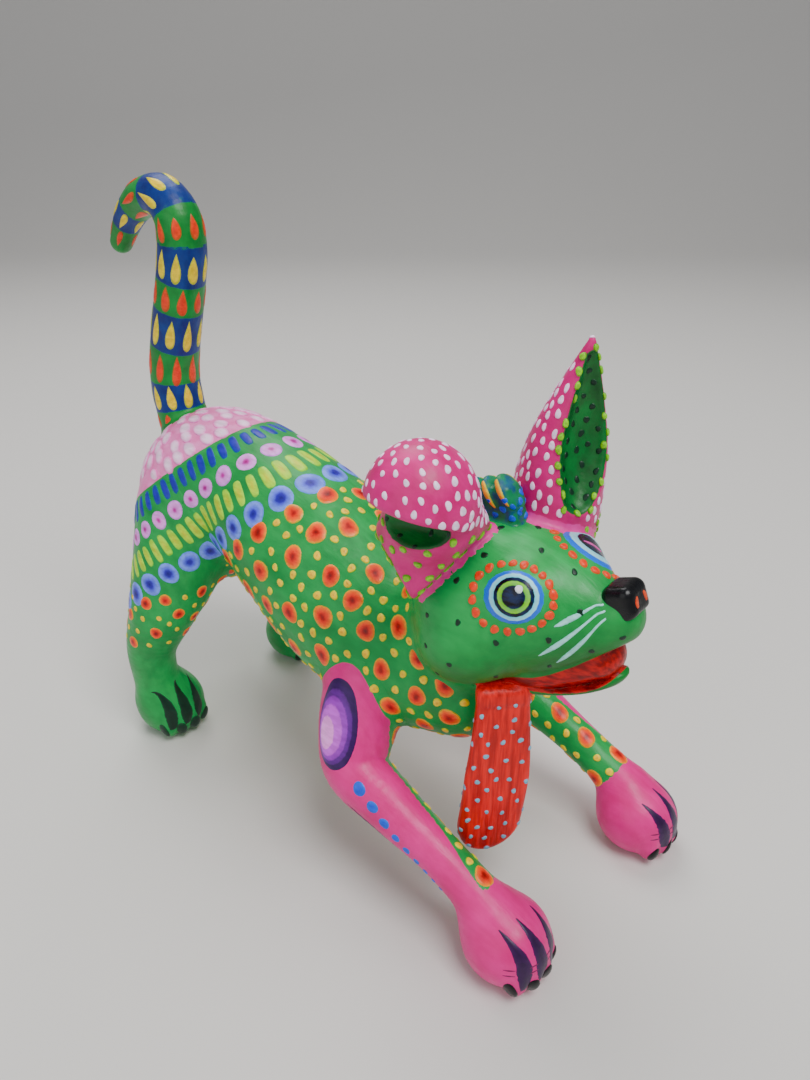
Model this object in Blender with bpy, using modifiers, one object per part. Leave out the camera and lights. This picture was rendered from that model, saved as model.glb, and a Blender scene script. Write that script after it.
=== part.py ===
"""A painted wooden alebrije dog in a play bow: chest low, rump high, tail up, tongue out.

The figure is carved in pieces and pegged together. The dog looks along -Y, its left side is +X
and +Z is up. The origin is the middle of the figure's bounding box, at the table.
"""

import math

import bmesh
import bpy
from mathutils import Matrix, Vector

# ---------------------------------------------------------------- driving dimensions
# Places and radii are millimetres, measured from the point on the table midway between the paws.
MM = 0.001
FRAME_Y = 12.5            # from that point back to the middle of the bounding box
GAP = 0.3                 # between glued or plugged pieces

# (x, y, z, radius) along the middle of each limb
SPINE = [(0, 67, 70, 17.5), (0, 56, 74, 19.2), (0, 45, 75, 18), (0, 34, 71, 19.2), (0, 20, 64, 21),
         (0, 6, 56.5, 21.5), (0, -10, 51.5, 19.5), (0, -25, 51, 16)]
NECK = [(0, -16, 54, 15), (0, -28, 68, 14)]
RUMP_CENTRE = (0, 61, 68.5)
RUMP_RADII = (22, 21.5, 24)

NECK_CUT = (0, -25.5, 62)  # a point on the flat joint between neck and head
NECK_TILT = 30            # degrees that the joint leans forward
NECK_PEG = (3.0, 16)      # radius and length

HEAD_CENTRE = (0, -32, 73)
HEAD_PITCH = 22           # degrees, nose up
HEAD_ROLL = 2             # degrees, left side up
# head shapes are measured from the head's centre: x to its left, y to its back, z to its crown
CRANIUM_CENTRE = (0, -2.5, 1)
CRANIUM_RADII = (18.5, 16.5, 17)
MUZZLE = [(0, -3, 1, 16), (0, -13, 0, 14), (0, -19.5, -1.6, 10.6), (0, -25.5, -3, 6.8),
          (0, -30.2, -3, 4.8)]
BROW_CENTRE = (8.4, -16.4, 4.4)
BROW_RADIUS = 6
JAW = [(0, 2, -14.5, 11), (0, -9, -16.6, 9.2), (0, -17, -17.4, 7.2), (0, -23, -16.7, 5),
       (0, -26, -15.6, 3.2)]
JAW_FLATTEN = 0.4
CHEEK_CENTRE = (12.5, 0, -5.5)
CHEEK_RADII = (7, 9.5, 7.5)
MOUTH_CORNER = (0, 4, -12)
MOUTH_ABOVE = 8           # degrees that the upper lip rises from the corner
MOUTH_BELOW = 5.5         # degrees that the lower jaw drops
MOUTH_SLIT = 0.35         # half the height of the slit at the corner
MOUTH_CORE = [(0, 6, -11, 11), (0, -9, -10.5, 9), (0, -18, -10.5, 5.6), (0, -22, -10.5, 3.8)]
NOSE_CENTRE = (0, -32.2, -0.9)
NOSE_SIZE = (7.4, 5.6, 7.2)

CREST_CENTRE = (1, -6.8, 19.4)
CREST_SIZE = (5, 12.5, 7)
CREST_RIDGES = 4
CREST_RIDGE_RADII = (2.4, 1.9, 2)

TONGUE_CENTRE = (-11.6, -44.2, 38.5)
TONGUE_SIZE = (13.5, 3.2, 46)
TONGUE_YAW = -38          # degrees that its face turns towards the right side
TONGUE_LEAN = 5           # degrees that its tip swings sideways
TONGUE_ROOT = (0.5, 4)    # how much thicker its root is, and how tall
TONGUE_NARROW = 0.9       # of its width, above the round tip

TAIL = [(0, 75.2, 86, 6.8), (0, 77, 96, 6.7), (0, 76.4, 104, 6.6), (0, 73.4, 113, 6.5),
        (0, 69.4, 124, 6.3), (0, 66.2, 134, 6.1), (0, 66.6, 141.5, 5.7), (0, 72, 146, 5.2),
        (0, 80.5, 145, 4.6), (0, 88, 140.3, 3.9), (0, 94, 133.4, 3.0)]
TAIL_AXIS = (0, 0.11, 0.99)
TAIL_PEG = (2.6, 11)

EAR_PEG = (2.2, 9)
LEFT_EAR = [(12, -38, 88, 9.6), (12.3, -38.6, 95, 9.4), (12.9, -39.6, 105, 8),
            (13, -41, 115, 5.2), (12.6, -42.6, 126.3, 1.4)]
LEFT_EAR_HOLLOW = [(9.6, -47.3, 98, 4.2), (10.6, -46.8, 102, 5.5), (11, -46.1, 106.5, 5.9),
                   (11.3, -45.5, 112, 5), (11.9, -44.6, 118, 3.3), (12.3, -43.6, 123, 1.6)]
LEFT_EAR_PEG = ((10.5, -36.5, 88), (0.16, -0.1, 1.0))
RIGHT_EAR_DOME = ((-23, -32, 103.5), (11.8, 11.8, 11.3))
RIGHT_EAR_ROOT = [(-20.5, -33.5, 101, 9.5), (-13, -31.5, 90, 8.5)]
RIGHT_EAR_FLAP = ((-19.5, -28, 90.5), (8.5, 8.5, 12.5))
RIGHT_EAR_HOLLOW = ((-32.6, -33.2, 100.3), (6.4, 9.5, 3.2))
RIGHT_EAR_HOLLOW_TURN = 25.5  # degrees about Z
RIGHT_EAR_PEG = ((-13.5, -29.5, 87), (-0.55, 0.05, 0.83))
PEG_OVERRUN = 2           # that a plug-in piece's peg and hole pass into the piece

FORELEG = [(-15, -8, 45, 9.5), (-20.5, -11, 38, 9), (-25, -15, 31.5, 7.4), (-25.5, -27, 27, 6),
           (-25, -38, 22.5, 5), (-24.5, -47, 18, 5), (-24.3, -52, 14.5, 5.8)]
LEFT_REACH = -4.5         # the left fore paw stands this much further forward
LEFT_SPREAD = 3.5         # and this much further out
HIND_LEG = [(-12, 61, 66, 14), (-18, 60, 54, 12), (-24, 61, 42, 9.2), (-27.3, 64.5, 30, 7),
            (-27.3, 65.5, 20, 6.4), (-26.4, 65, 13, 6.8)]
FORE_PAW = (-23.4, -57.2, 8.4)
HIND_PAW = (-24.8, 64, 8.4)
PAW_RADII = (9.6, 10, 9.3)
TOES = 4
TOE_RADII = (2.8, 3.2, 4.6)
TOE_FAN = 22              # degrees between neighbouring toes
TOE_REACH = 0.6           # of the paw's length
TOE_SPREAD = 1.2          # of that reach, sideways
TOE_DROP = 2.4            # below the paw's middle
LEG_PEG = (1.9, 13)
FORE_PEG = ((-13.5, -9.5, 45.5), (-0.72, -0.12, -0.68))
HIND_PEG = ((-17, 60, 56), (-0.6, 0, -0.8))

GREEN = (0.0, 0.36, 0.11)
PINK = (0.72, 0.09, 0.38)
RED = (0.62, 0.02, 0.02)
BLUE_GREEN = (0.0, 0.22, 0.22)
BARE_WOOD = (0.62, 0.47, 0.3)

FIGURE = Matrix.Translation((0, -FRAME_Y * MM, 0)) @ Matrix.Scale(MM, 4)
HEAD = (FIGURE @ Matrix.Translation(HEAD_CENTRE)
        @ Matrix.Rotation(math.radians(-HEAD_PITCH), 4, "X")
        @ Matrix.Rotation(math.radians(-HEAD_ROLL), 4, "Y"))


# ---------------------------------------------------------------- scene
def clear_scene():
    for thing in list(bpy.data.objects):
        bpy.data.objects.remove(thing, do_unlink=True)


def new_collection(name):
    made = bpy.data.collections.new(name)
    bpy.context.scene.collection.children.link(made)
    return made


def put(mesh, name, collection):
    thing = bpy.data.objects.new(name, mesh)
    collection.objects.link(thing)
    return thing


def evaluated(thing):
    """A mesh of the object as its modifiers leave it."""
    graph = bpy.context.evaluated_depsgraph_get()
    return bpy.data.meshes.new_from_object(thing.evaluated_get(graph), depsgraph=graph)


def bake(thing):
    """Applies every modifier of the object."""
    mesh = evaluated(thing)
    thing.modifiers.clear()
    old = thing.data
    thing.data = mesh
    bpy.data.meshes.remove(old)
    return thing


# ---------------------------------------------------------------- shapes
def limb(stations, frame=FIGURE):
    """A round limb through stations (x, y, z, radius), as a mesh with welded caps."""
    curve = bpy.data.curves.new("limb", "CURVE")
    curve.dimensions = "3D"
    curve.bevel_depth = 1.0
    curve.bevel_resolution = 5
    curve.use_fill_caps = True
    spline = curve.splines.new("BEZIER")
    spline.resolution_u = 6
    spline.bezier_points.add(len(stations) - 1)
    for point, (x, y, z, radius) in zip(spline.bezier_points, stations):
        point.co = (x, y, z)
        point.radius = radius
        point.handle_left_type = "AUTO"
        point.handle_right_type = "AUTO"
    thing = put(curve, "limb", SCRAP)
    mesh = evaluated(thing)
    bpy.data.objects.remove(thing)
    bm = bmesh.new()
    bm.from_mesh(mesh)
    bmesh.ops.remove_doubles(bm, verts=bm.verts, dist=0.0001)
    bmesh.ops.transform(bm, matrix=frame, verts=bm.verts)
    bmesh.ops.recalc_face_normals(bm, faces=bm.faces)
    bm.to_mesh(mesh)
    bm.free()
    return mesh


def ball(centre, radii, frame=FIGURE):
    bm = bmesh.new()
    bmesh.ops.create_uvsphere(bm, u_segments=32, v_segments=20, radius=1.0)
    place = frame @ Matrix.Translation(centre) @ Matrix.Diagonal((*radii, 1))
    bmesh.ops.transform(bm, matrix=place, verts=bm.verts)
    mesh = bpy.data.meshes.new("ball")
    bm.to_mesh(mesh)
    bm.free()
    return mesh


def block(centre, size, frame=FIGURE, turn=None):
    bm = bmesh.new()
    bmesh.ops.create_cube(bm, size=1.0)
    place = frame @ Matrix.Translation(centre) @ (turn or Matrix()) @ Matrix.Diagonal((*size, 1))
    bmesh.ops.transform(bm, matrix=place, verts=bm.verts)
    mesh = bpy.data.meshes.new("block")
    bm.to_mesh(mesh)
    bm.free()
    return mesh


def rod(middle, axis, radius, length, frame=FIGURE):
    bm = bmesh.new()
    bmesh.ops.create_cone(bm, cap_ends=True, segments=20, radius1=radius, radius2=radius,
                          depth=length)
    turn = Vector(axis).to_track_quat("Z", "Y").to_matrix().to_4x4()
    bmesh.ops.transform(bm, matrix=frame @ Matrix.Translation(middle) @ turn, verts=bm.verts)
    mesh = bpy.data.meshes.new("rod")
    bm.to_mesh(mesh)
    bm.free()
    return mesh


def rounded_ends(stations):
    """Balls that round off both ends of a limb."""
    return [(stations[i][:3], (stations[i][3],) * 3) for i in (0, -1)]


def carve(name, meshes, voxel, smoothing, triangles):
    """One closed surface around overlapping shapes, smoothed and thinned to a triangle count."""
    bm = bmesh.new()
    for mesh in meshes:
        bm.from_mesh(mesh)
    joined = bpy.data.meshes.new(name)
    bm.to_mesh(joined)
    bm.free()
    thing = put(joined, name, FIGURE_PARTS)
    remesh = thing.modifiers.new("remesh", "REMESH")
    remesh.mode = "VOXEL"
    remesh.voxel_size = voxel * MM
    smooth = thing.modifiers.new("smooth", "SMOOTH")
    smooth.iterations = smoothing
    bake(thing)
    thin = thing.modifiers.new("thin", "DECIMATE")
    thin.ratio = triangles / (2 * len(thing.data.polygons))
    thin.use_collapse_triangulate = True
    return bake(thing)


def cutter(mesh, name):
    thing = put(mesh, name, CUTTERS)
    thing.hide_render = True
    thing.display_type = "WIRE"
    return thing


def boolean(thing, mesh, operation="DIFFERENCE"):
    tool = thing.modifiers.new(operation.lower(), "BOOLEAN")
    tool.operation = operation
    tool.solver = "EXACT"
    tool.object = cutter(mesh, thing.name + "_" + operation.lower())
    return bake(thing)


def grown(thing, amount):
    """The object's surface moved outwards by amount millimetres."""
    copy = put(thing.data.copy(), "grown", SCRAP)
    push = copy.modifiers.new("grow", "DISPLACE")
    push.strength = amount * MM
    push.mid_level = 0.0
    mesh = evaluated(copy)
    bpy.data.objects.remove(copy)
    return mesh


def drill(things, middle, axis, peg, frame=FIGURE):
    """A peg's hole through the pieces that it joins."""
    radius, length = peg
    for thing in things:
        boolean(thing, rod(middle, axis, radius + GAP, length + 2 * GAP, frame))


def finish(thing, colour, roughness=0.45):
    material = bpy.data.materials.new(thing.name)
    material.use_nodes = True
    shader = material.node_tree.nodes["Principled BSDF"]
    shader.inputs["Base Color"].default_value = (*colour, 1)
    shader.inputs["Roughness"].default_value = roughness
    shader.inputs["Metallic"].default_value = 0.0
    thing.data.materials.clear()
    thing.data.materials.append(material)
    thing.data.shade_smooth()
    thing.data.set_sharp_from_angle(angle=math.radians(40))
    return thing


def mirrored(stations, spread, reach):
    """The same limb on the dog's left side, whose far end is moved by spread and reach."""
    last = len(stations) - 1
    return [(spread * i / last - x, y + reach * i / last, z, r)
            for i, (x, y, z, r) in enumerate(stations)]


# ---------------------------------------------------------------- pieces
def torso():
    shapes = [limb(SPINE), limb(NECK), ball(RUMP_CENTRE, RUMP_RADII)]
    shapes += [ball(*end) for end in rounded_ends(SPINE) + rounded_ends(NECK)]
    return carve("torso", shapes, voxel=1.3, smoothing=6, triangles=1500)


def head():
    shapes = [ball(CRANIUM_CENTRE, CRANIUM_RADII, HEAD), limb(MUZZLE, HEAD),
              ball(*rounded_ends(MUZZLE)[1], HEAD)]
    x, y, z = CHEEK_CENTRE
    shapes += [ball((side * x, y, z), CHEEK_RADII, HEAD) for side in (-1, 1)]
    x, y, z = BROW_CENTRE
    shapes += [ball((side * x, y, z), (BROW_RADIUS,) * 3, HEAD) for side in (-1, 1)]
    flat = HEAD @ Matrix.Diagonal((1, 1, JAW_FLATTEN, 1))
    jaw = [(x, y, z / JAW_FLATTEN, r) for x, y, z, r in JAW]
    shapes += [limb(jaw, flat)] + [ball(*end, flat) for end in rounded_ends(jaw)]
    shapes.append(block(NOSE_CENTRE, NOSE_SIZE, HEAD))
    shapes.append(limb(NECK))
    return carve("head", shapes, voxel=1.0, smoothing=5, triangles=1500)


def mouth_wedge():
    """A wedge across the head, a slit at the mouth's corner, that opens towards the nose.

    A core is left out of it, so that the mouth is a groove with the throat behind it.
    """
    length = 2.5 * CRANIUM_RADII[0]
    bm = bmesh.new()
    bmesh.ops.create_cube(bm, size=length)
    for vert in bm.verts:
        ahead = length if vert.co.y < 0 else 0
        angle = MOUTH_ABOVE if vert.co.z > 0 else -MOUTH_BELOW
        vert.co.y = -ahead
        vert.co.z = math.copysign(MOUTH_SLIT, angle) + ahead * math.tan(math.radians(angle))
    bmesh.ops.transform(bm, matrix=HEAD @ Matrix.Translation(MOUTH_CORNER), verts=bm.verts)
    mesh = bpy.data.meshes.new("mouth")
    bm.to_mesh(mesh)
    bm.free()
    wedge = boolean(put(mesh, "wedge", SCRAP), limb(MOUTH_CORE, HEAD))
    mesh = wedge.data
    bpy.data.objects.remove(wedge)
    return mesh


def crest():
    x, y, z = CREST_CENTRE
    width, length, height = CREST_SIZE
    shapes = [block(CREST_CENTRE, CREST_SIZE, HEAD)]
    for i in range(CREST_RIDGES):
        along = y - length / 2 + length * (i + 0.5) / CREST_RIDGES
        shapes.append(ball((x, along, z + height / 2), CREST_RIDGE_RADII, HEAD))
    return carve("crest", shapes, voxel=0.7, smoothing=2, triangles=420)


def tongue():
    width, thick, tall = TONGUE_SIZE
    turn = (Matrix.Rotation(math.radians(TONGUE_YAW), 4, "Z")
            @ Matrix.Rotation(math.radians(TONGUE_LEAN), 4, "Y"))
    frame = FIGURE @ Matrix.Translation(TONGUE_CENTRE) @ turn
    root_thick, root_tall = TONGUE_ROOT
    tip = (0, 0, -tall / 2 + width / 2)
    blade = (width * TONGUE_NARROW, thick, tall - width / 2)
    root = (blade[0], thick + root_thick, root_tall)
    shapes = [block((0, 0, width / 4), blade, frame), rod(tip, (0, 1, 0), width / 2, thick, frame),
              block((0, 0, tall / 2 - root_tall / 2), root, frame)]
    return carve("tongue", shapes, voxel=0.7, smoothing=3, triangles=420)


def tail():
    shapes = [limb(TAIL)] + [ball(*end) for end in rounded_ends(TAIL)]
    return carve("tail", shapes, voxel=0.9, smoothing=3, triangles=760)


def paw(centre):
    """A round paw with a fan of toes along its front."""
    x, y, z = centre
    width, length, height = PAW_RADII
    shapes = [ball(centre, PAW_RADII)]
    for i in range(TOES):
        fan = math.radians(TOE_FAN * (i - (TOES - 1) / 2))
        toe = (x + math.sin(fan) * width * TOE_REACH * TOE_SPREAD,
               y - math.cos(fan) * length * TOE_REACH, z - TOE_DROP)
        turn = Matrix.Translation(toe) @ Matrix.Rotation(fan, 4, "Z")
        shapes.append(ball((0, 0, 0), TOE_RADII, FIGURE @ turn))
    return shapes


def leg(name, stations, paw_centre):
    shapes = [limb(stations)] + [ball(*end) for end in rounded_ends(stations)] + paw(paw_centre)
    thing = carve(name, shapes, voxel=0.9, smoothing=3, triangles=1000)
    boolean(thing, block((0, 0, -10), (200, 300, 20)))
    return thing


def left_ear():
    shapes = [limb(LEFT_EAR)] + [ball(*end) for end in rounded_ends(LEFT_EAR)]
    thing = carve("ear_left", shapes, voxel=0.8, smoothing=3, triangles=700)
    hollow = [limb(LEFT_EAR_HOLLOW)] + [ball(*end) for end in rounded_ends(LEFT_EAR_HOLLOW)]
    inside = carve("hollow", hollow, voxel=0.8, smoothing=2, triangles=400)
    boolean(thing, inside.data.copy())
    bpy.data.objects.remove(inside)
    return thing


def right_ear():
    shapes = [ball(*RIGHT_EAR_DOME), ball(*RIGHT_EAR_FLAP), limb(RIGHT_EAR_ROOT)]
    thing = carve("ear_right", shapes, voxel=0.9, smoothing=4, triangles=800)
    centre, radii = RIGHT_EAR_HOLLOW
    turn = Matrix.Rotation(math.radians(RIGHT_EAR_HOLLOW_TURN), 4, "Z")
    return boolean(thing, ball((0, 0, 0), radii, FIGURE @ Matrix.Translation(centre) @ turn))


def plug_rod(root, axis, size, gap=0.0):
    """The peg of a plug-in piece; its hole is the same shape, larger by the gap."""
    radius, length = size
    direction = Vector(axis).normalized()
    middle = Vector(root) - direction * (length / 2 - PEG_OVERRUN)
    return rod(middle, direction, radius + gap, length + 2 * (PEG_OVERRUN + gap))


def peg(name, middle, axis, size):
    radius, length = size
    return finish(put(rod(middle, axis, radius, length), name, FIGURE_PARTS), BARE_WOOD, 0.7)


def neck_side(above):
    """Half of space on one side of the neck joint, as a very large block."""
    size = 400
    tilt = Matrix.Rotation(math.radians(NECK_TILT), 4, "X")
    offset = size / 2 if above else GAP - size / 2
    middle = Matrix.Translation(NECK_CUT) @ tilt @ Matrix.Translation((0, 0, offset))
    return block((0, 0, 0), (size, size, size), FIGURE @ middle)


def seat(thing, point):
    """Moves the object's origin to a point of the figure, with its surface left where it is."""
    place = FIGURE @ Vector(point)
    thing.data.transform(Matrix.Translation(-place))
    thing.location = place
    return thing


def build():
    body = torso()
    body_skin = grown(body, GAP)
    skull = head()
    skull_skin = grown(skull, GAP)
    boolean(skull, mouth_wedge())

    neck_axis = Matrix.Rotation(math.radians(NECK_TILT), 3, "X") @ Vector((0, 0, 1))
    boolean(body, neck_side(above=True))
    boolean(skull, neck_side(above=False))
    drill((body, skull), NECK_CUT, neck_axis, NECK_PEG)
    peg("neck_peg", NECK_CUT, neck_axis, NECK_PEG)

    for name, stations, paw_centre, spread, reach, (middle, axis) in (
            ("front_right_leg", FORELEG, FORE_PAW, 0, 0, FORE_PEG),
            ("front_left_leg", FORELEG, FORE_PAW, LEFT_SPREAD, LEFT_REACH, FORE_PEG),
            ("rear_right_leg", HIND_LEG, HIND_PAW, 0, 0, HIND_PEG),
            ("rear_left_leg", HIND_LEG, HIND_PAW, 0, 0, HIND_PEG)):
        if "left" in name:
            stations = mirrored(stations, spread, reach)
            paw_centre = (spread - paw_centre[0], paw_centre[1] + reach, paw_centre[2])
            middle = (-middle[0], middle[1], middle[2])
            axis = (-axis[0], axis[1], axis[2])
        limb_piece = leg(name, stations, paw_centre)
        boolean(limb_piece, body_skin)
        drill((body, limb_piece), middle, axis, LEG_PEG)
        peg(name + "_peg", middle, axis, LEG_PEG)
        seat(limb_piece, middle)
        finish(limb_piece, PINK if "front" in name else GREEN)

    rear = tail()
    boolean(rear, body_skin)
    tail_root = TAIL[0][:3]
    boolean(rear, plug_rod(tail_root, TAIL_AXIS, TAIL_PEG), "UNION")
    boolean(body, plug_rod(tail_root, TAIL_AXIS, TAIL_PEG, GAP))
    seat(rear, tail_root)
    finish(rear, BLUE_GREEN)

    for ear, (root, axis) in ((left_ear(), LEFT_EAR_PEG), (right_ear(), RIGHT_EAR_PEG)):
        boolean(ear, skull_skin)
        boolean(ear, plug_rod(root, axis, EAR_PEG), "UNION")
        boolean(skull, plug_rod(root, axis, EAR_PEG, GAP))
        seat(ear, root)
        finish(ear, PINK)

    comb = crest()
    boolean(comb, skull_skin)
    finish(comb, BLUE_GREEN)
    lolling = tongue()
    boolean(lolling, grown(skull, GAP))
    finish(lolling, RED)
    finish(body, GREEN)
    finish(skull, GREEN)


clear_scene()
FIGURE_PARTS = new_collection("alebrije_figure")
CUTTERS = new_collection("cutters")
SCRAP = new_collection("scrap")
build()
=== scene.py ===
"""How the painted alebrije dog looks: carved wood under satin acrylic paint, with raised dabs.

The dog looks along -Y and its left side is +X. Lengths are millimetres on the dog's own axes,
measured from the point on the table midway between the paws, as in the CAD source.
"""

import math

import bpy
import numpy as np
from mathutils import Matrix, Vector


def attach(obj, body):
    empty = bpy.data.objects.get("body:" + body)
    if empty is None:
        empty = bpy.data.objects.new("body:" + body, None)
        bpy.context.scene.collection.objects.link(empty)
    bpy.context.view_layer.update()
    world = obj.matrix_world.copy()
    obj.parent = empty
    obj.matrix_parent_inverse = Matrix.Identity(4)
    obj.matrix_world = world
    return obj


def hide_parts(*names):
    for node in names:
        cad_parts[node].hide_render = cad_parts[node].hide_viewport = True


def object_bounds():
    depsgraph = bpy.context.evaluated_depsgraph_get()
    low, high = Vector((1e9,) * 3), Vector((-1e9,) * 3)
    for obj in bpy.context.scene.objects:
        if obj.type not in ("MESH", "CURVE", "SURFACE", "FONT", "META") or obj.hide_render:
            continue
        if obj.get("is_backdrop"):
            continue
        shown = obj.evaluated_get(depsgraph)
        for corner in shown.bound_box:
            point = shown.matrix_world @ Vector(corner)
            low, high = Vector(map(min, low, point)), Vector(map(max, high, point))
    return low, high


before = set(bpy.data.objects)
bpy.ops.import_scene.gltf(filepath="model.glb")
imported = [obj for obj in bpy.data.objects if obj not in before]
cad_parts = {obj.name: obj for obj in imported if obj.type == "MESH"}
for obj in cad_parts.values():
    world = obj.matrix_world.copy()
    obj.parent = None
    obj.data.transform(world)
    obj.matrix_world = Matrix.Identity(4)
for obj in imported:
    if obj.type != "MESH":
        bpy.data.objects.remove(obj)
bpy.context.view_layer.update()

# ---------------------------------------------------------------- the carving
MM = 0.001
BAND = 1.35               # a block's reach from its middle, in block sizes
FRAME_Y = 12.5            # from the dog's origin back to the frame's
BURY = 0.6                # depth that a glued piece runs into its neighbour
FINE = 0.55     # mesh cell on small pieces
COARSE = 0.75   # on the torso

SPINE = [(0, 67, 70, 17.5), (0, 56, 74, 19.2), (0, 45, 75, 18), (0, 34, 71, 19.2), (0, 20, 64, 21),
         (0, 6, 56.5, 21.5), (0, -10, 51.5, 19.5), (0, -25, 51, 16)]
NECK = [(0, -16, 54, 15), (0, -28, 68, 14)]
RUMP = ((0, 61, 68.5), (22, 21.5, 24))

HEAD_CENTRE = (0, -32, 73)
HEAD_PITCH = 22           # degrees, nose up
HEAD_ROLL = 2             # degrees, left side up
CRANIUM = ((0, -2.5, 1), (18.5, 16.5, 17))
MUZZLE = [(0, -3, 1, 16), (0, -13, 0, 14), (0, -19.5, -1.6, 10.6), (0, -25.5, -3, 6.8),
          (0, -30.2, -3, 4.8)]
CHOPS = [(0, -12, -4, 12.3), (0, -20, -5.6, 8.4), (0, -26.5, -6, 5.2), (0, -30, -5.4, 3.8)]
BROW = ((8.4, -16.4, 4.4), (6, 6, 6))
CHEEK = ((12.5, 0, -5.5), (7, 9.5, 7.5))
JAW = [(0, 2, -14.5, 11), (0, -9, -16.6, 9.2), (0, -17, -17.4, 7.2), (0, -22.6, -17.2, 5),
       (0, -25.2, -16.6, 3.4)]
JAW_FLATTEN = 0.4
# (back, height) along the lips, from the mouth's corner to the front
UPPER_LIP = [(5.5, -10.8), (-1, -12.0), (-9.5, -13.4), (-15, -13.6), (-21, -12.4), (-28, -10.2),
             (-34, -8.4), (-40, -7.0)]
LOWER_LIP = [(5.5, -11.6), (-1, -13.8), (-9.5, -16.2), (-15, -17.5), (-21, -17.8), (-25, -17.0),
             (-30, -14.4), (-40, -10.0)]
MOUTH_CORE = [(0, 4, -11.5, 7.2), (0, -9, -12.2, 7.8), (0, -18, -12.8, 5.8), (0, -24.2, -12.8, 4.2)]
MOUTH_CORE_WIDEN = 1.35
NOSE = ((0, -32.4, -0.8), (3.8, 3.3, 3.8), 2.0)

CREST_CENTRE = (1.0, -7.0, 19.8)
CREST_SIZE = (5.0, 13.5, 8.6)
CREST_RIDGES = 4

TONGUE_CENTRE = (-11.6, -44.2, 38.5)
TONGUE_SIZE = (13.5, 3.2, 46)
TONGUE_YAW = -38
TONGUE_LEAN = 3

TAIL = [(0, 75.2, 86, 6.8), (0, 77, 96, 6.7), (0, 76.4, 104, 6.6), (0, 73.4, 113, 6.5),
        (0, 69.4, 124, 6.3), (0, 66.2, 134, 6.1), (0, 66.6, 141.5, 5.7), (0, 72, 146, 5.2),
        (0, 80.5, 145, 4.6), (0, 88, 140.3, 3.9), (0, 94, 133.4, 3.0)]

LEFT_EAR = [(12, -38, 88, 9.6), (12.3, -38.6, 95, 9.4), (12.9, -39.6, 105, 8),
            (13.1, -41, 115, 5.0), (12.9, -42.1, 122, 2.6), (12.6, -42.9, 127.2, 0.7)]
LEFT_EAR_HOLLOW = [(7.8, -47.2, 98.2, 3.7), (9.0, -46.9, 102, 4.9), (10.1, -46.2, 106.5, 5.4),
                   (11.1, -45.5, 112, 4.6), (11.9, -44.6, 118, 3.0), (12.3, -43.7, 124, 1.2)]
RIGHT_EAR_DOME = ((-23.2, -32, 103.4), (10.6, 10.6, 11.4))
RIGHT_EAR_RIM = (102.2, -0.33, 0.1)    # its height, and rise to the left and to the back
RIGHT_EAR_RIM_AT = (-28, -42)
RIGHT_EAR_ROOT = [(-20.5, -32.5, 100, 9.0), (-13, -31.5, 90, 8.5)]
RIGHT_EAR_FLAP = ((-19.5, -28, 90.5), (8.5, 8.5, 12.5))
RIGHT_EAR_HOLLOW = ((-32.0, -33.4, 100.4), (6.6, 10.2, 3.3))
RIGHT_EAR_HOLLOW_TURN = 25.5
# the flat sides that narrow the folded ear's root: a point on each, and the way it faces
RIGHT_EAR_SIDES = [((-13.5, -39.9, 96.9), (0.157, -0.775, -0.612)),
                   ((-25.8, -32, 84.5), (-0.767, 0.494, -0.41))]

FORELEG = [(-15, -8, 45, 9.5), (-20.5, -11, 38, 9), (-25, -15, 31.5, 7.4), (-25.5, -27, 27, 6),
           (-25, -38, 22.5, 5), (-24.5, -47, 18, 5), (-24.3, -52, 14.5, 5.8)]
LEFT_REACH = -4.5
LEFT_SPREAD = 3.5
HIND_LEG = [(-12, 61, 66, 14), (-18, 60, 54, 12), (-24, 61, 42, 9.2), (-27.3, 64.5, 30, 7),
            (-27.3, 65.5, 20, 6.4), (-26.4, 65, 13, 6.8)]
FORE_PAW = (-23.4, -57.2, 8.4)
HIND_PAW = (-24.8, 64, 8.4)
PAW_RADII = (9.6, 10, 9.3)
TOES = 4
TOE_RADII = (2.7, 3.6, 5.0)
TOE_FAN = 23
TOE_REACH = 0.66


def array(values):
    return np.asarray(values, float)


def turn_x(degrees):
    c, s = math.cos(math.radians(degrees)), math.sin(math.radians(degrees))
    return array([[1, 0, 0], [0, c, -s], [0, s, c]])


def turn_y(degrees):
    c, s = math.cos(math.radians(degrees)), math.sin(math.radians(degrees))
    return array([[c, 0, s], [0, 1, 0], [-s, 0, c]])


def turn_z(degrees):
    c, s = math.cos(math.radians(degrees)), math.sin(math.radians(degrees))
    return array([[c, -s, 0], [s, c, 0], [0, 0, 1]])


HEAD_TURN = turn_x(-HEAD_PITCH) @ turn_y(-HEAD_ROLL)
TONGUE_TURN = turn_z(TONGUE_YAW) @ turn_y(TONGUE_LEAN)


def in_head(points):
    """Points on the dog's axes as seen from the head: x to its left, y to its back, z to its crown."""
    return (points - array(HEAD_CENTRE)) @ HEAD_TURN


def from_head(points):
    return array(points) @ HEAD_TURN.T + array(HEAD_CENTRE)


def smooth_path(stations, steps=7):
    """Catmull-Rom samples through the stations."""
    knots = array(stations)
    knots = np.vstack([2 * knots[0] - knots[1], knots, 2 * knots[-1] - knots[-2]])
    share = np.linspace(0, 1, steps, endpoint=False)[:, None]
    pieces = []
    for a, b, c, d in zip(knots, knots[1:], knots[2:], knots[3:]):
        pieces.append(0.5 * (2 * b + (c - a) * share + (2 * a - 5 * b + 4 * c - d) * share ** 2
                             + (3 * b - a - 3 * c + d) * share ** 3))
    return np.vstack(pieces + [knots[-2:-1]])


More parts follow.
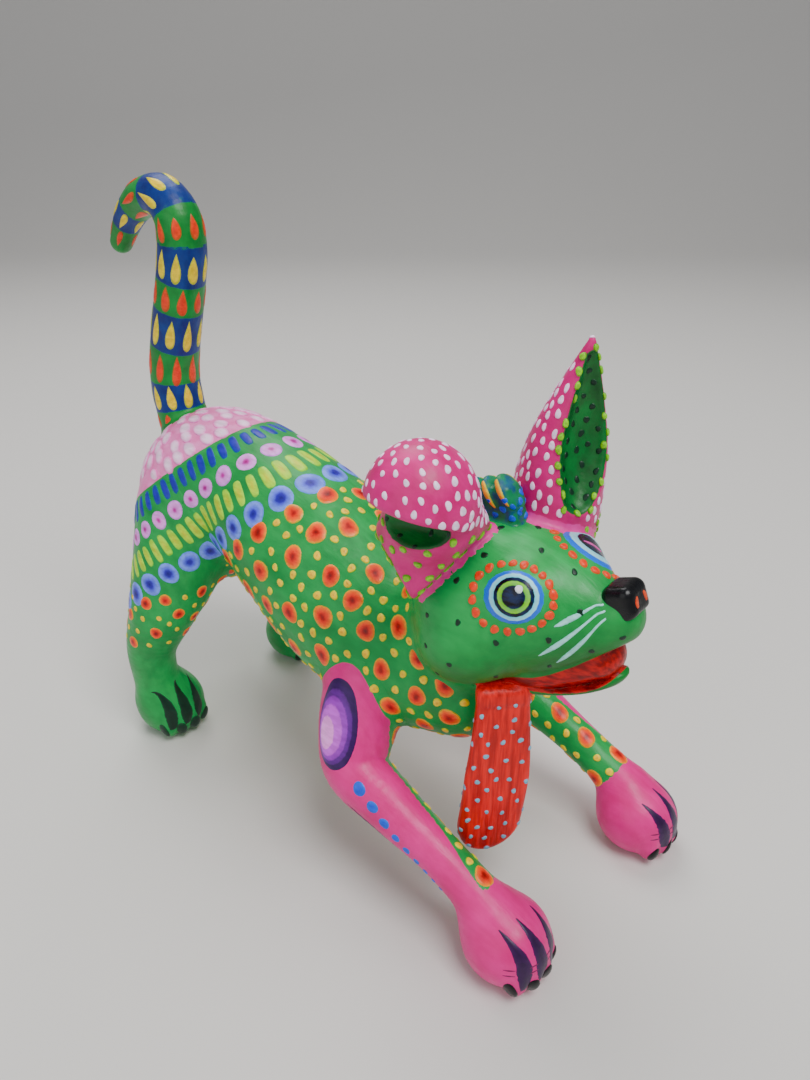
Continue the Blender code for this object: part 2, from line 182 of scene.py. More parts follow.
def limb(points, stations, steps=7):
    """Distance to a round limb, and how far along it (0 to 1) the nearest place is."""
    path = smooth_path(stations, steps)
    lengths = np.linalg.norm(np.diff(path[:, :3], axis=0), axis=1)
    starts = np.concatenate([[0], np.cumsum(lengths)])
    best = np.full(len(points), 1e9)
    along = np.zeros(len(points))
    for i, (a, b) in enumerate(zip(path, path[1:])):
        step = b[:3] - a[:3]
        share = np.clip((points - a[:3]) @ step / (step @ step), 0, 1)
        away = points - a[:3] - share[:, None] * step
        distance = np.sqrt((away ** 2).sum(1)) - a[3] - share * (b[3] - a[3])
        nearer = distance < best
        best = np.where(nearer, distance, best)
        along = np.where(nearer, starts[i] + share * lengths[i], along)
    return best, along / starts[-1]


def egg(points, centre, radii):
    q = (points - array(centre)) / array(radii)
    near = np.sqrt((q ** 2).sum(1))
    slope = np.sqrt(((q / array(radii)) ** 2).sum(1))
    return near * (near - 1) / np.maximum(slope, 1e-6)


def box(points, centre, half, rounding):
    q = np.abs(points - array(centre)) - array(half) + rounding
    outside = np.sqrt((np.maximum(q, 0) ** 2).sum(1))
    return outside + np.minimum(q.max(1), 0) - rounding


def melt(a, b, width):
    """The union of two shapes with a fillet."""
    h = np.maximum(width - np.abs(a - b), 0) / width
    return np.minimum(a, b) - h * h * width / 4


def cut(a, b, width):
    """Shape a without shape b, with a softened edge."""
    return -melt(-a, b, width)


def profile(y, knots):
    samples = smooth_path([(x, 0, z, 0) for x, z in knots], 6)
    order = np.argsort(samples[:, 0])
    return np.interp(y, samples[order, 0], samples[order, 2])


# ---------------------------------------------------------------- the shapes as distances
def torso(points):
    spine = limb(points, SPINE, 9)[0]
    neck = limb(points, NECK, 4)[0]
    return melt(melt(spine, neck, 6), egg(points, *RUMP), 4)


def mouth(points):
    """Negative in the gap between the lips."""
    q = in_head(points)
    upper = q[:, 2] - profile(q[:, 1], UPPER_LIP)
    lower = profile(q[:, 1], LOWER_LIP) - q[:, 2]
    return np.maximum(np.maximum(upper, lower), q[:, 1] - UPPER_LIP[0][0])


def skull(points):
    q = in_head(points)
    shape = melt(egg(q, *CRANIUM), limb(q, MUZZLE)[0], 5)
    mirrored = np.column_stack([np.abs(q[:, 0]), q[:, 1:]])
    shape = melt(shape, egg(mirrored, *CHEEK), 5)
    shape = melt(shape, limb(q, CHOPS)[0], 3)
    return melt(shape, egg(mirrored, *BROW), 3)


def jaw(points):
    q = in_head(points)
    flat = q / array([1, 1, JAW_FLATTEN])
    stations = [(x, y, z / JAW_FLATTEN, r) for x, y, z, r in JAW]
    return limb(flat, stations)[0] * 0.62


def closed_head(points):
    return melt(skull(points), jaw(points), 3)


def head(points):
    q = in_head(points) / array([MOUTH_CORE_WIDEN, 1, 1])
    return melt(cut(closed_head(points), mouth(points), 0.5), limb(q, MOUTH_CORE)[0], 0.3)


def nose(points):
    q = in_head(points)
    shape = box(q, *NOSE)
    under = (-q[:, 2] - 4.0) * 0.9 + (-q[:, 1] - 33.0) * 0.36
    return cut(shape, -under, 1.0)


def crest(points):
    q = in_head(points) - array(CREST_CENTRE)
    width, length, height = CREST_SIZE
    shape = box(q, (0, 0, 0), (width / 2, length / 2, height / 2), 1.3)
    for i in range(CREST_RIDGES):
        along = length * ((i + 0.5) / CREST_RIDGES - 0.5)
        leaning = np.column_stack([q[:, 0], q[:, 1] - 0.35 * q[:, 2] + 1.2, q[:, 2]])
        shape = melt(shape, egg(leaning, (0, along, 2.4), (width / 2 + 0.6, 1.45, height / 2 - 0.4)), 0.5)
    return shape


def tongue(points):
    q = (points - array(TONGUE_CENTRE)) @ TONGUE_TURN
    width, thick, tall = TONGUE_SIZE
    bend = 1.3 * (q[:, 2] / tall) ** 2 * 4
    q = np.column_stack([q[:, 0] + bend * 0.6, q[:, 1] - bend + 0.6, q[:, 2]])
    half = width / 2 * (1.05 - 0.27 * np.clip(q[:, 2] / tall * 2, 0, 1))
    bottom = -tall / 2 + width * 0.7
    below = np.minimum(q[:, 2] - bottom, 0) / 1.3
    across = np.sqrt(q[:, 0] ** 2 + below ** 2) - half
    edge = np.maximum(across, q[:, 2] - tall / 2)
    sheet = np.abs(q[:, 1]) - thick / 2
    inner = np.minimum(np.maximum(edge + 1.2, sheet + 1.2), 0)
    slab = np.sqrt(np.maximum(edge + 1.2, 0) ** 2 + np.maximum(sheet + 1.2, 0) ** 2) + inner - 1.2
    ridge = box(q, (0, -0.2, tall / 2 - 2.0), (width * 0.4, thick / 2 + 0.2, 1.8), 1.2)
    return melt(slab, ridge, 1.2)


def tail(points):
    return limb(points, TAIL, 6)[0]


def left_ear_hollow(points):
    return limb(points, LEFT_EAR_HOLLOW)[0]


def left_ear(points):
    return cut(limb(points, LEFT_EAR)[0], left_ear_hollow(points), 1.0)


def right_ear_hollow(points):
    centre, radii = RIGHT_EAR_HOLLOW
    return egg((points - array(centre)) @ turn_z(RIGHT_EAR_HOLLOW_TURN), (0, 0, 0), radii)


def above_rim(points):
    """Height above the lower edge of the folded ear's dome."""
    height, left, back = RIGHT_EAR_RIM
    x, y = RIGHT_EAR_RIM_AT
    return points[:, 2] - height - left * (points[:, 0] - x) - back * (points[:, 1] - y)


def right_ear(points):
    dome = cut(egg(points, *RIGHT_EAR_DOME), above_rim(points) * 0.93, 1.2)
    flap = melt(egg(points, *RIGHT_EAR_FLAP), limb(points, RIGHT_EAR_ROOT, 3)[0], 2.5)
    for (x, y, z), (a, b, c) in RIGHT_EAR_SIDES:
        outside = a * (points[:, 0] - x) + b * (points[:, 1] - y) + c * (points[:, 2] - z)
        flap = cut(flap, -outside, 1.0)
    return cut(melt(dome, flap, 0.8), right_ear_hollow(points), 0.8)


def side_stations(stations, side, spread=0, reach=0):
    """A limb's stations on the right (-1) or left (1) side; its far end is moved by spread and reach."""
    last = len(stations) - 1
    if side < 0:
        return stations
    return [(spread * i / last - x, y + reach * i / last, z, r)
            for i, (x, y, z, r) in enumerate(stations)]


def toes(paw_centre):
    x, y, z = paw_centre
    width, length, _ = PAW_RADII
    for i in range(TOES):
        fan = TOE_FAN * (i - (TOES - 1) / 2)
        a = math.radians(fan)
        yield fan, (x + math.sin(a) * width * TOE_REACH * 1.2, y - math.cos(a) * length * TOE_REACH, z - 2.4)


def leg(points, stations, paw_centre):
    shape = melt(limb(points, stations)[0], egg(points, paw_centre, PAW_RADII), 4)
    for fan, centre in toes(paw_centre):
        q = (points - array(centre)) @ turn_z(fan)
        shape = melt(shape, egg(q, (0, 0, 0), TOE_RADII), 0.7)
    return cut(shape, points[:, 2], 0.8)


LEGS = {
    "front_right_leg": (FORELEG, FORE_PAW),
    "front_left_leg": (side_stations(FORELEG, 1, LEFT_SPREAD, LEFT_REACH),
                       (LEFT_SPREAD - FORE_PAW[0], FORE_PAW[1] + LEFT_REACH, FORE_PAW[2])),
    "rear_right_leg": (HIND_LEG, HIND_PAW),
    "rear_left_leg": (side_stations(HIND_LEG, 1), (-HIND_PAW[0], HIND_PAW[1], HIND_PAW[2])),
}


def joined(part, base, fillet, clearance):
    """A piece with a fillet where it meets its base; clearance is its gap, negative to run in."""
    def shape(points):
        own, other = part(points), base(points)
        fused = melt(own, other, fillet)
        return np.maximum(np.maximum(fused, clearance - other), own - fillet)
    return shape


# ---------------------------------------------------------------- meshes
def gradient(field, points, step=0.02):
    value = field(points)
    slopes = []
    for axis in range(3):
        moved = points.copy()
        moved[:, axis] += step
        slopes.append((field(moved) - value) / step)
    return value, np.column_stack(slopes)


def onto(field, points, rounds=2):
    """Points moved onto the field's zero surface, and the surface's normals there."""
    points = array(points).copy()
    for _ in range(rounds):
        value, slope = gradient(field, points)
        points -= (value / np.maximum((slope ** 2).sum(1), 0.05))[:, None] * slope
    return points, slope / np.maximum(np.linalg.norm(slope, axis=1), 1e-9)[:, None]


def part_of(axis, start, stop):
    return tuple(slice(start, stop) if i == axis else slice(None) for i in range(3))


def banded(field, axes, cell, block=4):
    """The field on a grid, worked out only in the blocks that its surface can reach."""
    counts = [len(axis) for axis in axes]
    middles = [axis[0] + cell * block * (np.arange(-(-len(axis) // block)) + 0.5) for axis in axes]
    centres = np.stack(np.meshgrid(*middles, indexing="ij"), -1)
    rough = field(centres.reshape(-1, 3)).reshape(centres.shape[:3])
    values = rough
    for axis in range(3):
        values = np.repeat(values, block, axis=axis)
    values = values[:counts[0], :counts[1], :counts[2]].copy()
    near = np.abs(rough) < BAND * cell * block
    for axis in range(3):
        near = np.repeat(near, block, axis=axis)
    near = near[:counts[0], :counts[1], :counts[2]]
    spots = np.argwhere(near)
    points = np.column_stack([axes[i][spots[:, i]] for i in range(3)])
    pieces = np.array_split(points, max(1, len(points) // 40000))
    values[near] = np.concatenate([field(piece) for piece in pieces])
    return values


def skin(field, low, high, cell):
    """Vertices and quads of the field's zero surface, by surface nets."""
    low, high = array(low), array(high)
    counts = np.ceil((high - low) / cell).astype(int) + 1
    axes = [low[i] + cell * np.arange(counts[i]) for i in range(3)]
    values = banded(field, axes, cell)
    inside = values < 0
    total = np.zeros(tuple(counts - 1) + (3,))
    hits = np.zeros(tuple(counts - 1))
    for axis in range(3):
        first, second = [i for i in range(3) if i != axis]
        for a in (0, 1):
            for b in (0, 1):
                near = [slice(None)] * 3
                near[first] = slice(a, a - 1 or None)
                near[second] = slice(b, b - 1 or None)
                far = list(near)
                near[axis] = slice(0, -1)
                far[axis] = slice(1, None)
                v0, v1 = values[tuple(near)], values[tuple(far)]
                crossed = inside[tuple(near)] != inside[tuple(far)]
                share = np.where(crossed, v0 / np.where(crossed, v0 - v1, 1), 0)
                total[..., axis] += share
                total[..., first] += a * crossed
                total[..., second] += b * crossed
                hits += crossed
    active = hits > 0
    index = np.full(active.shape, -1)
    index[active] = np.arange(active.sum())
    cells = np.argwhere(active)
    points = low + (cells + total[active] / hits[active][:, None]) * cell
    quads = []
    for axis in range(3):
        first, second = (axis + 1) % 3, (axis + 2) % 3
        starts = inside[part_of(axis, 0, -1)]
        ends = inside[part_of(axis, 1, None)]
        spots = np.argwhere(starts != ends)
        keep = ((spots[:, first] > 0) & (spots[:, first] < counts[first] - 1)
                & (spots[:, second] > 0) & (spots[:, second] < counts[second] - 1))
        spots = spots[keep]
        flip = starts[tuple(spots.T)]
        corners = []
        for a, b in ((0, 0), (1, 0), (1, 1), (0, 1)):
            spot = spots.copy()
            spot[:, first] -= a
            spot[:, second] -= b
            corners.append(index[tuple(spot.T)])
        quad = np.column_stack(corners)
        quad[flip] = quad[flip][:, ::-1]
        quads.append(quad)
    return points, np.vstack(quads)[:, ::-1]


def make(name, points, faces, material, body, attributes=None, stands_for=()):
    """A piece on the dog's axes in millimetres becomes an object in the frame."""
    mesh = bpy.data.meshes.new(name)
    placed = (array(points) - array([0, FRAME_Y, 0])) * MM
    mesh.vertices.add(len(placed))
    mesh.vertices.foreach_set("co", placed.astype(np.float32).ravel())
    faces = [np.asarray(group) for group in (faces if isinstance(faces, list) else [faces])]
    total = sum(group.size for group in faces)
    mesh.loops.add(total)
    mesh.loops.foreach_set("vertex_index", np.concatenate([g.ravel() for g in faces]).astype(np.int32))
    mesh.polygons.add(sum(len(g) for g in faces))
    sizes = np.concatenate([np.full(len(g), g.shape[1]) for g in faces])
    mesh.polygons.foreach_set("loop_start", np.concatenate([[0], np.cumsum(sizes)[:-1]]).astype(np.int32))
    for key, values in (attributes or {}).items():
        layer = mesh.attributes.new(key, "FLOAT", "POINT")
        layer.data.foreach_set("value", np.asarray(values, np.float32))
    mesh.update(calc_edges=True)
    mesh.validate()
    mesh.shade_smooth()
    mesh.materials.append(material)
    thing = bpy.data.objects.new(name, mesh)
    bpy.context.scene.collection.objects.link(thing)
    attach(thing, body)
    if stands_for:
        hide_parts(*stands_for)
    return thing


def carve(name, field, low, high, cell, material, body, paint=None, stands_for=()):
    """A piece from its distance field; paint gives its float attributes from its points."""
    points, faces = skin(field, low, high, cell)
    points = onto(field, points)[0]
    attributes = paint(points) if paint else None
    make(name, points, faces, material, body, attributes, stands_for)
    return points


# ---------------------------------------------------------------- dabs of paint
RINGS = (0.0, 0.3, 0.55, 0.75, 0.9, 1.0)
SEGMENTS = 20


def outline(kind, angle):
    """(across, along) of a dab's edge, each within -1 to 1; along is +1 at its narrow end."""
    c, s = np.cos(angle), np.sin(angle)
    if kind == "capsule":
        return np.sign(s) * np.abs(s) ** 0.6, np.sign(c) * np.abs(c) ** 0.75
    if kind == "petal":
        return 1.3 * s * np.sin(angle / 2), c
    if kind == "leaf":
        return s * np.abs(s) ** 0.6, c
    return s, c


def dabs(name, field, centres, along, half, material, body, height=0.22, kind="oval",
         wobble=0.05, seed=1, sink=0.05, lean=(0.0, 0.0), fineness=1):
    """Thin raised strokes at centres on the field, their long side along the given direction.

    half is (across, along) for all, or one row for each dab. lean moves the inner rings off
    centre, as shares of the halves. fineness multiplies the rings and segments.
    """
    segments = SEGMENTS * fineness
    rings = np.interp(np.linspace(0, len(RINGS) - 1, (len(RINGS) - 1) * fineness + 1),
                      np.arange(len(RINGS)), RINGS)
    centres, normals = onto(field, centres, 4)
    count = len(centres)
    chance = np.random.default_rng(seed)
    along = np.broadcast_to(array(along), (count, 3))
    ahead = along - (along * normals).sum(1)[:, None] * normals
    ahead /= np.maximum(np.linalg.norm(ahead, axis=1), 1e-6)[:, None]
    across = np.cross(ahead, normals)
    half = np.broadcast_to(array(half), (count, 2)) * (1 + wobble * chance.uniform(-1, 1, (count, 1)))
    angle = np.linspace(0, 2 * math.pi, segments, endpoint=False)
    wide, long = outline(kind, angle)
    lump = 1 + wobble * (np.cos(2 * angle[None] + chance.uniform(0, 6.3, (count, 1)))
                         + 0.6 * np.cos(3 * angle[None] + chance.uniform(0, 6.3, (count, 1))))
    rho = np.concatenate([[0]] + [np.full(segments, r) for r in rings[1:]])
    x = np.concatenate([np.zeros((count, 1))] + [r * wide * lump for r in rings[1:]], axis=1)
    y = np.concatenate([np.zeros((count, 1))] + [r * long * lump for r in rings[1:]], axis=1)
    x = x + (1 - rho) * lean[0]
    y = y + (1 - rho) * lean[1]
    points = (centres[:, None] + (x * half[:, :1])[..., None] * across[:, None]
              + (y * half[:, 1:])[..., None] * ahead[:, None]).reshape(-1, 3)
    points, up = onto(field, points)
    lift = height * np.sqrt(np.maximum(1 - rho ** 3, 0)) - sink
    points += np.tile(lift, count)[:, None] * up
    ring = np.arange(segments)
    after = np.roll(ring, -1)
    fan = np.column_stack([np.zeros(segments, int), 1 + after, 1 + ring])
    bands = [np.column_stack([1 + k * segments + ring, 1 + k * segments + after,
                              1 + (k + 1) * segments + after, 1 + (k + 1) * segments + ring])
             for k in range(len(rings) - 2)]
    size = len(rho)
    starts = (np.arange(count) * size)[:, None, None]
    fans = (fan[None] + starts).reshape(-1, 3)
    quads = (np.vstack(bands)[None] + starts).reshape(-1, 4)
    attributes = {"rho": np.tile(rho, count), "chance": np.repeat(chance.uniform(0, 1, count), size),
                  "along": np.clip(y, -1, 1).ravel()}
    return make(name, points, [fans, quads], material, body, attributes)


STROKE_STEPS = 26
STROKE_ACROSS = (-1.0, -0.85, -0.5, 0.0, 0.5, 0.85, 1.0)


def strokes(name, field, paths, material, body, height=0.18, slot=None, seed=1, sink=0.05):
    """Raised brush strokes along paths of (x, y, z, half width) laid on the field."""
    chance = np.random.default_rng(seed)
    points, rho, along, faces = [], [], [], []
    sides = array(STROKE_ACROSS)
    for number, path in enumerate(paths):
        fine = smooth_path(path, 8)
        place = np.linspace(0, 1, len(fine))
        even = np.linspace(0, 1, STROKE_STEPS)
        line = np.column_stack([np.interp(even, place, fine[:, i]) for i in range(4)])
        centres, up = onto(field, line[:, :3], 4)
        ahead = np.gradient(centres, axis=0)
        across = np.cross(ahead, up)
        across /= np.maximum(np.linalg.norm(across, axis=1), 1e-9)[:, None]
        width = np.maximum(line[:, 3], 0.04) * (1 + 0.08 * chance.uniform(-1, 1, STROKE_STEPS))
        spots = centres[:, None] + (sides[None] * width[:, None])[..., None] * across[:, None]
        base = number * STROKE_STEPS * len(sides)
        points.append(spots.reshape(-1, 3))
        rho.append(np.tile(np.abs(sides), STROKE_STEPS))
        along.append(np.repeat(even, len(sides)))
        grid = base + np.arange(STROKE_STEPS * len(sides)).reshape(STROKE_STEPS, len(sides))
        faces.append(np.column_stack([grid[:-1, :-1].ravel(), grid[:-1, 1:].ravel(),
                                      grid[1:, 1:].ravel(), grid[1:, :-1].ravel()])[:, ::-1])
    rho, along = np.concatenate(rho), np.concatenate(along)
    points, up = onto(field, np.concatenate(points))
    ends = np.clip(np.minimum(along, 1 - along) * 12, 0, 1)
    lift = height * np.sqrt(np.maximum(1 - rho ** 3, 0)) * np.sqrt(ends) - sink
    points += lift[:, None] * up
    marks = {"rho": rho, "along": along, "chance": chance.uniform(0, 1, len(rho))}
    return make(name, points, np.concatenate(faces), material, body, marks)


def around(field, centre, radius, count, turn=0.0):
    """Places on a circle about a centre on the field."""
    centre, up = onto(field, array([centre]), 4)
    side = np.cross(up[0], (0, 0, 1))
    side /= np.linalg.norm(side)
    rise = np.cross(side, up[0])
    angles = np.linspace(0, 2 * math.pi, count, endpoint=False) + turn
    return centre + radius * (np.cos(angles)[:, None] * side + np.sin(angles)[:, None] * rise)


def spread(candidates, spacing, start=None, limit=4000):
    """Evenly spaced picks: each is the candidate farthest from those taken so far."""
    nearest = np.full(len(candidates), 1e9) if start is None else start.copy()
    taken = []
    pick = 0 if start is None else int(np.argmax(nearest))
    while nearest[pick] > spacing and len(taken) < limit:
        taken.append(pick)
        nearest = np.minimum(nearest, np.linalg.norm(candidates - candidates[pick], axis=1))
        pick = int(np.argmax(nearest))
    return candidates[taken]


def nearest_to(candidates, points):
    best = np.full(len(candidates), 1e9)
    for point in points:
        best = np.minimum(best, np.linalg.norm(candidates - point, axis=1))
    return best


# ---------------------------------------------------------------- paint
def srgb(red, green, blue):
    return tuple(v / 255 / 12.92 if v <= 10.3 else ((v / 255 + 0.055) / 1.055) ** 2.4
                 for v in (red, green, blue)) + (1.0,)


class Paint:
    """A procedural acrylic paint, built up in layers of colour."""

    def __init__(self, name, roughness=0.38):
        self.material = bpy.data.materials.new(name)
        self.material.use_nodes = True
        self.tree = self.material.node_tree
        self.shader = self.tree.nodes["Principled BSDF"]
        self.shader.inputs["Roughness"].default_value = roughness
        self.shader.inputs["Coat Weight"].default_value = 0.06
        self.shader.inputs["Coat Roughness"].default_value = 0.25
        self.shader.inputs["Specular IOR Level"].default_value = 0.3
        self.place = self.node("ShaderNodeTexCoord").outputs["Object"]

    def node(self, kind, **settings):
        made = self.tree.nodes.new(kind)
        for key, value in settings.items():
            setattr(made, key, value)
        return made

    def link(self, source, target):
        self.tree.links.new(source, target)

    def put(self, value, socket):
        if isinstance(value, (int, float)):
            socket.default_value = value
        else:
            self.link(value, socket)

    def math(self, operation, a, b=0.0, clamp=False):
        made = self.node("ShaderNodeMath", operation=operation, use_clamp=clamp)
        self.put(a, made.inputs[0])
        self.put(b, made.inputs[1])
        return made.outputs[0]

    def attribute(self, name):
        return self.node("ShaderNodeAttribute", attribute_name=name).outputs["Fac"]

    def noise(self, size, stretch=(1, 1, 1), detail=3.0, turn=(0, 0, 0)):
        """Noise with features of about size millimetres, longer along an axis of small stretch."""
        mapping = self.node("ShaderNodeMapping")
        self.link(self.place, mapping.inputs["Vector"])
        mapping.inputs["Scale"].default_value = [s / (size * MM) for s in stretch]
        mapping.inputs["Rotation"].default_value = [math.radians(t) for t in turn]
        made = self.node("ShaderNodeTexNoise")
        made.inputs["Scale"].default_value = 1.0
        made.inputs["Detail"].default_value = detail
        self.link(mapping.outputs[0], made.inputs["Vector"])
        return made.outputs["Fac"]

    def range(self, value, low, high, to_low=0.0, to_high=1.0):
        made = self.node("ShaderNodeMapRange", interpolation_type="SMOOTHSTEP")
        self.put(value, made.inputs["Value"])
        for key, number in (("From Min", low), ("From Max", high), ("To Min", to_low), ("To Max", to_high)):
            made.inputs[key].default_value = number
        return made.outputs["Result"]

    def ramp(self, value, stops, interpolation="LINEAR"):
        made = self.node("ShaderNodeValToRGB")
        made.color_ramp.interpolation = interpolation
        elements = made.color_ramp.elements
        while len(elements) < len(stops):
            elements.new(0.5)
        for element, (position, colour) in zip(elements, stops):
            element.position = position
            element.color = srgb(*colour)
        self.put(value, made.inputs["Fac"])
        return made.outputs["Color"]

    def mix(self, share, a, b):
        made = self.node("ShaderNodeMix", data_type="RGBA")
        self.put(share, made.inputs["Factor"])
        for value, socket in ((a, made.inputs[6]), (b, made.inputs[7])):
            if isinstance(value, tuple):
                socket.default_value = srgb(*value)
            else:
                self.link(value, socket)
        return made.outputs[2]

    def coat(self, dark, light, size=9.0):
        """Uneven brushed colour between two tones."""
        cloud = self.noise(size, detail=4)
        streak = self.noise(1.6, (1, 0.16, 0.5), 3, (20, 0, 35))
        both = self.math("ADD", self.math("MULTIPLY", cloud, 0.6), self.math("MULTIPLY", streak, 0.4))
        return self.mix(self.range(both, 0.25, 0.75), dark, light)

    def edge(self, name, at=0.0, soft=0.12, ragged=0.35):
        """1 where the attribute is above a value, with a hand-painted edge."""
        wavy = self.math("MULTIPLY", self.math("SUBTRACT", self.noise(1.8), 0.5), ragged)
        return self.range(self.math("ADD", self.attribute(name), wavy), at - soft, at + soft)

    def done(self, colour, grain=0.10, grain_size=0.9, stretch=(1, 0.2, 0.6), turn=(20, 0, 35)):
        """Connects the colour, and a relief of brush marks over wood grain."""
        self.link(colour, self.shader.inputs["Base Color"])
        marks = self.noise(grain_size, stretch, 4, turn)
        lumps = self.noise(5.0)
        height = self.math("ADD", marks, self.math("MULTIPLY", lumps, 1.2))
        bump = self.node("ShaderNodeBump")
        bump.inputs["Strength"].default_value = 1.0
        bump.inputs["Distance"].default_value = grain * MM
        self.link(height, bump.inputs["Height"])
        self.link(bump.outputs[0], self.shader.inputs["Normal"])
        shine = self.range(self.noise(3.0), 0.3, 0.7, self.shader.inputs["Roughness"].default_value - 0.05,
                           self.shader.inputs["Roughness"].default_value + 0.09)
        self.link(shine, self.shader.inputs["Roughness"])
        return self.material


GREEN_DARK, GREEN_LIGHT = (0, 128, 54), (0, 168, 76)
PINK_DARK, PINK_LIGHT = (212, 10, 116), (240, 28, 146)


def dab_paint(name, stops, roughness=0.32, scatter=0.12):
    """A dab whose colour runs from its middle to its rim."""
    paint = Paint(name, roughness)
    wavy = paint.math("MULTIPLY", paint.math("SUBTRACT", paint.noise(0.8), 0.5), scatter * 2)
    shift = paint.math("MULTIPLY", paint.math("SUBTRACT", paint.attribute("chance"), 0.5), scatter)
    place = paint.math("ADD", paint.attribute("rho"), paint.math("ADD", wavy, shift))
    colour = paint.ramp(place, stops)
    tone = paint.node("ShaderNodeHueSaturation")
    paint.link(colour, tone.inputs["Color"])
    paint.link(paint.range(paint.noise(1.2, (1, 0.3, 1)), 0.35, 0.65, 0.86, 1.12), tone.inputs["Value"])
    return paint.done(tone.outputs["Color"], 0.05, 0.6)


def body_paint():
    """Green, with pink on the rump's cap and on the outside of the forelegs and their paws."""
    paint = Paint("body_paint")
    green = paint.coat(GREEN_DARK, GREEN_LIGHT)
    pink = paint.coat(PINK_DARK, PINK_LIGHT)
    cap = paint.coat((236, 90, 170), (252, 150, 210), 3)
    colour = paint.mix(paint.edge("cap"), green, cap)
    colour = paint.mix(paint.edge("pink", soft=0.1), colour, pink)
    return paint.done(colour)


def plain_paint(name, dark, light, roughness=0.38, grain=0.10, size=9.0):
    paint = Paint(name, roughness)
    return paint.done(paint.coat(dark, light, size), grain)


def head_paint():
    """Green, with painted shade darkening it towards the jaw and nape, and the red inside of the mouth."""
    paint = Paint("head_paint")
    green = paint.coat((0, 142, 60), (0, 182, 84))
    # painted shade: a darker green low on the head, blending up into the lit green by height on the head
    painted_shade = paint.coat((0, 100, 32), (0, 132, 44))
    colour = paint.mix(paint.range(paint.attribute("crown"), -12.0, 4.0), painted_shade, green)
    strokes = paint.noise(1.1, (1, 0.15, 1), 3, (25, 0, -30))
    red = paint.mix(paint.range(strokes, 0.35, 0.65), (120, 0, 0), (196, 4, 2))
    colour = paint.mix(paint.edge("mouth", soft=0.06, ragged=0.15), colour, red)
    return paint.done(colour)


def ear_paint():
    """Magenta pink outside, green in the hollow, a paler lip of rough filler at the root."""
    paint = Paint("ear_paint")
    pink = paint.coat((190, 4, 100), (226, 14, 134), 6)
    green = paint.coat((0, 74, 26), (0, 124, 46), 5)
    lip = paint.coat((222, 36, 140), (240, 70, 168), 2)
    colour = paint.mix(paint.edge("root", at=0.6, ragged=1.4), pink, lip)
    colour = paint.mix(paint.edge("hollow", soft=0.1, ragged=0.25), colour, green)
    return paint.done(colour)


def tail_paint():
    """Bands of blue and green with brushed edges."""
    paint = Paint("tail_paint")
    blue = paint.coat((2, 20, 100), (2, 58, 140), 5)
    green = paint.coat((0, 110, 36), (0, 150, 56), 5)
    return paint.done(paint.mix(paint.edge("band", soft=0.15, ragged=0.6), blue, green))


def tongue_paint():
    """Red with the wood's grain showing down its length."""
    paint = Paint("tongue_paint", 0.42)
    grain = paint.noise(0.9, (1, 1, 0.06), 4)
    cloud = paint.noise(6.0)
    both = paint.math("ADD", paint.math("MULTIPLY", grain, 0.75), paint.math("MULTIPLY", cloud, 0.25))
    colour = paint.mix(paint.range(both, 0.32, 0.68), (176, 2, 0), (248, 16, 8))
    return paint.done(colour, 0.22, 0.9, (1, 1, 0.06), (0, 0, 0))


def crest_paint():
    """Green running into teal, with brush marks."""
    paint = Paint("crest_paint")
    green = paint.coat((0, 104, 60), (4, 140, 84), 3)
    teal = paint.coat((2, 70, 104), (4, 104, 128), 3)
    return paint.done(paint.mix(paint.range(paint.noise(2.2), 0.42, 0.6), green, teal))


def eye_paint(name, stops):
    """Concentric painted rings with a glossy finish."""
    paint = Paint(name, 0.22)
    wavy = paint.math("MULTIPLY", paint.math("SUBTRACT", paint.noise(1.4), 0.5), 0.045)
    colour = paint.ramp(paint.math("ADD", paint.attribute("rho"), wavy), stops)
    streak = paint.range(paint.noise(1.0, (1, 0.3, 1)), 0.35, 0.7, 0.0, 0.14)
    return paint.done(paint.mix(streak, colour, (10, 90, 200)), 0.05, 0.7)


# ---------------------------------------------------------------- where the paint goes
ROW_RISE = array((0, 0.648, 0.762))   # the painted rows on the rump are level across this
CAP_ROW = 99.8
BAR_ROW = 96.4
LILAC_ROW = 90.3
LIME_ROW = 84.0
PERIWINKLE_ROW = 77.4
FLANK_ROW = 73.0          # the orange dots start below this
HOCK_LOW, HOCK_HIGH = 35.0, 50.0
# how far outward the pink of a foreleg starts, along the leg
PINK_START = ((0, 0.12, 0.25, 0.4, 0.64, 0.74, 0.85, 0.93),
              (-3.3, -4.6, -5.6, -4.2, -2.8, -1.9, -0.4, 0.3))
WRIST = 0.955
SHOULDER_TOP, SHOULDER_Y, SHOULDER_BEND = 55.0, -9.0, 0.116
TAIL_BANDS = (0.055, 0.145, 0.259, 0.379, 0.466, 0.562, 0.64, 0.75, 0.85, 0.93)


def row(points):
    return points @ ROW_RISE


def pink_part(points):
    """Positive on the painted pink of the forelegs."""
    best = np.full(len(points), -9.0)
    for side, name in ((-1, "front_right_leg"), (1, "front_left_leg")):
        stations, paw_centre = LEGS[name]
        tube, along = limb(points, stations)
        distance = np.minimum(tube, egg(points, paw_centre, PAW_RADII))
        path = smooth_path(stations)
        steps = np.concatenate([[0], np.cumsum(np.linalg.norm(np.diff(path[:, :3], axis=0), axis=1))])
        middle = np.column_stack([np.interp(along, steps / steps[-1], path[:, i]) for i in range(3)])
        outward = (points - middle) @ array((side * 0.9, 0.4, 0))
        value = outward - np.interp(along, *PINK_START) - (2.6 if side > 0 else 0.0)
        rim = SHOULDER_TOP - SHOULDER_BEND * (points[:, 1] - SHOULDER_Y) ** 2 - points[:, 2]
        value = np.minimum(value, np.maximum(rim, (along - 0.14) * 40))
        value = np.maximum(value, (along - WRIST) * 60)
        best = np.maximum(best, np.minimum(value, 5 - distance))
    return best


def body_marks(points):
    return {"cap": np.where(points[:, 1] > 20, row(points) - CAP_ROW, -9), "pink": pink_part(points)}


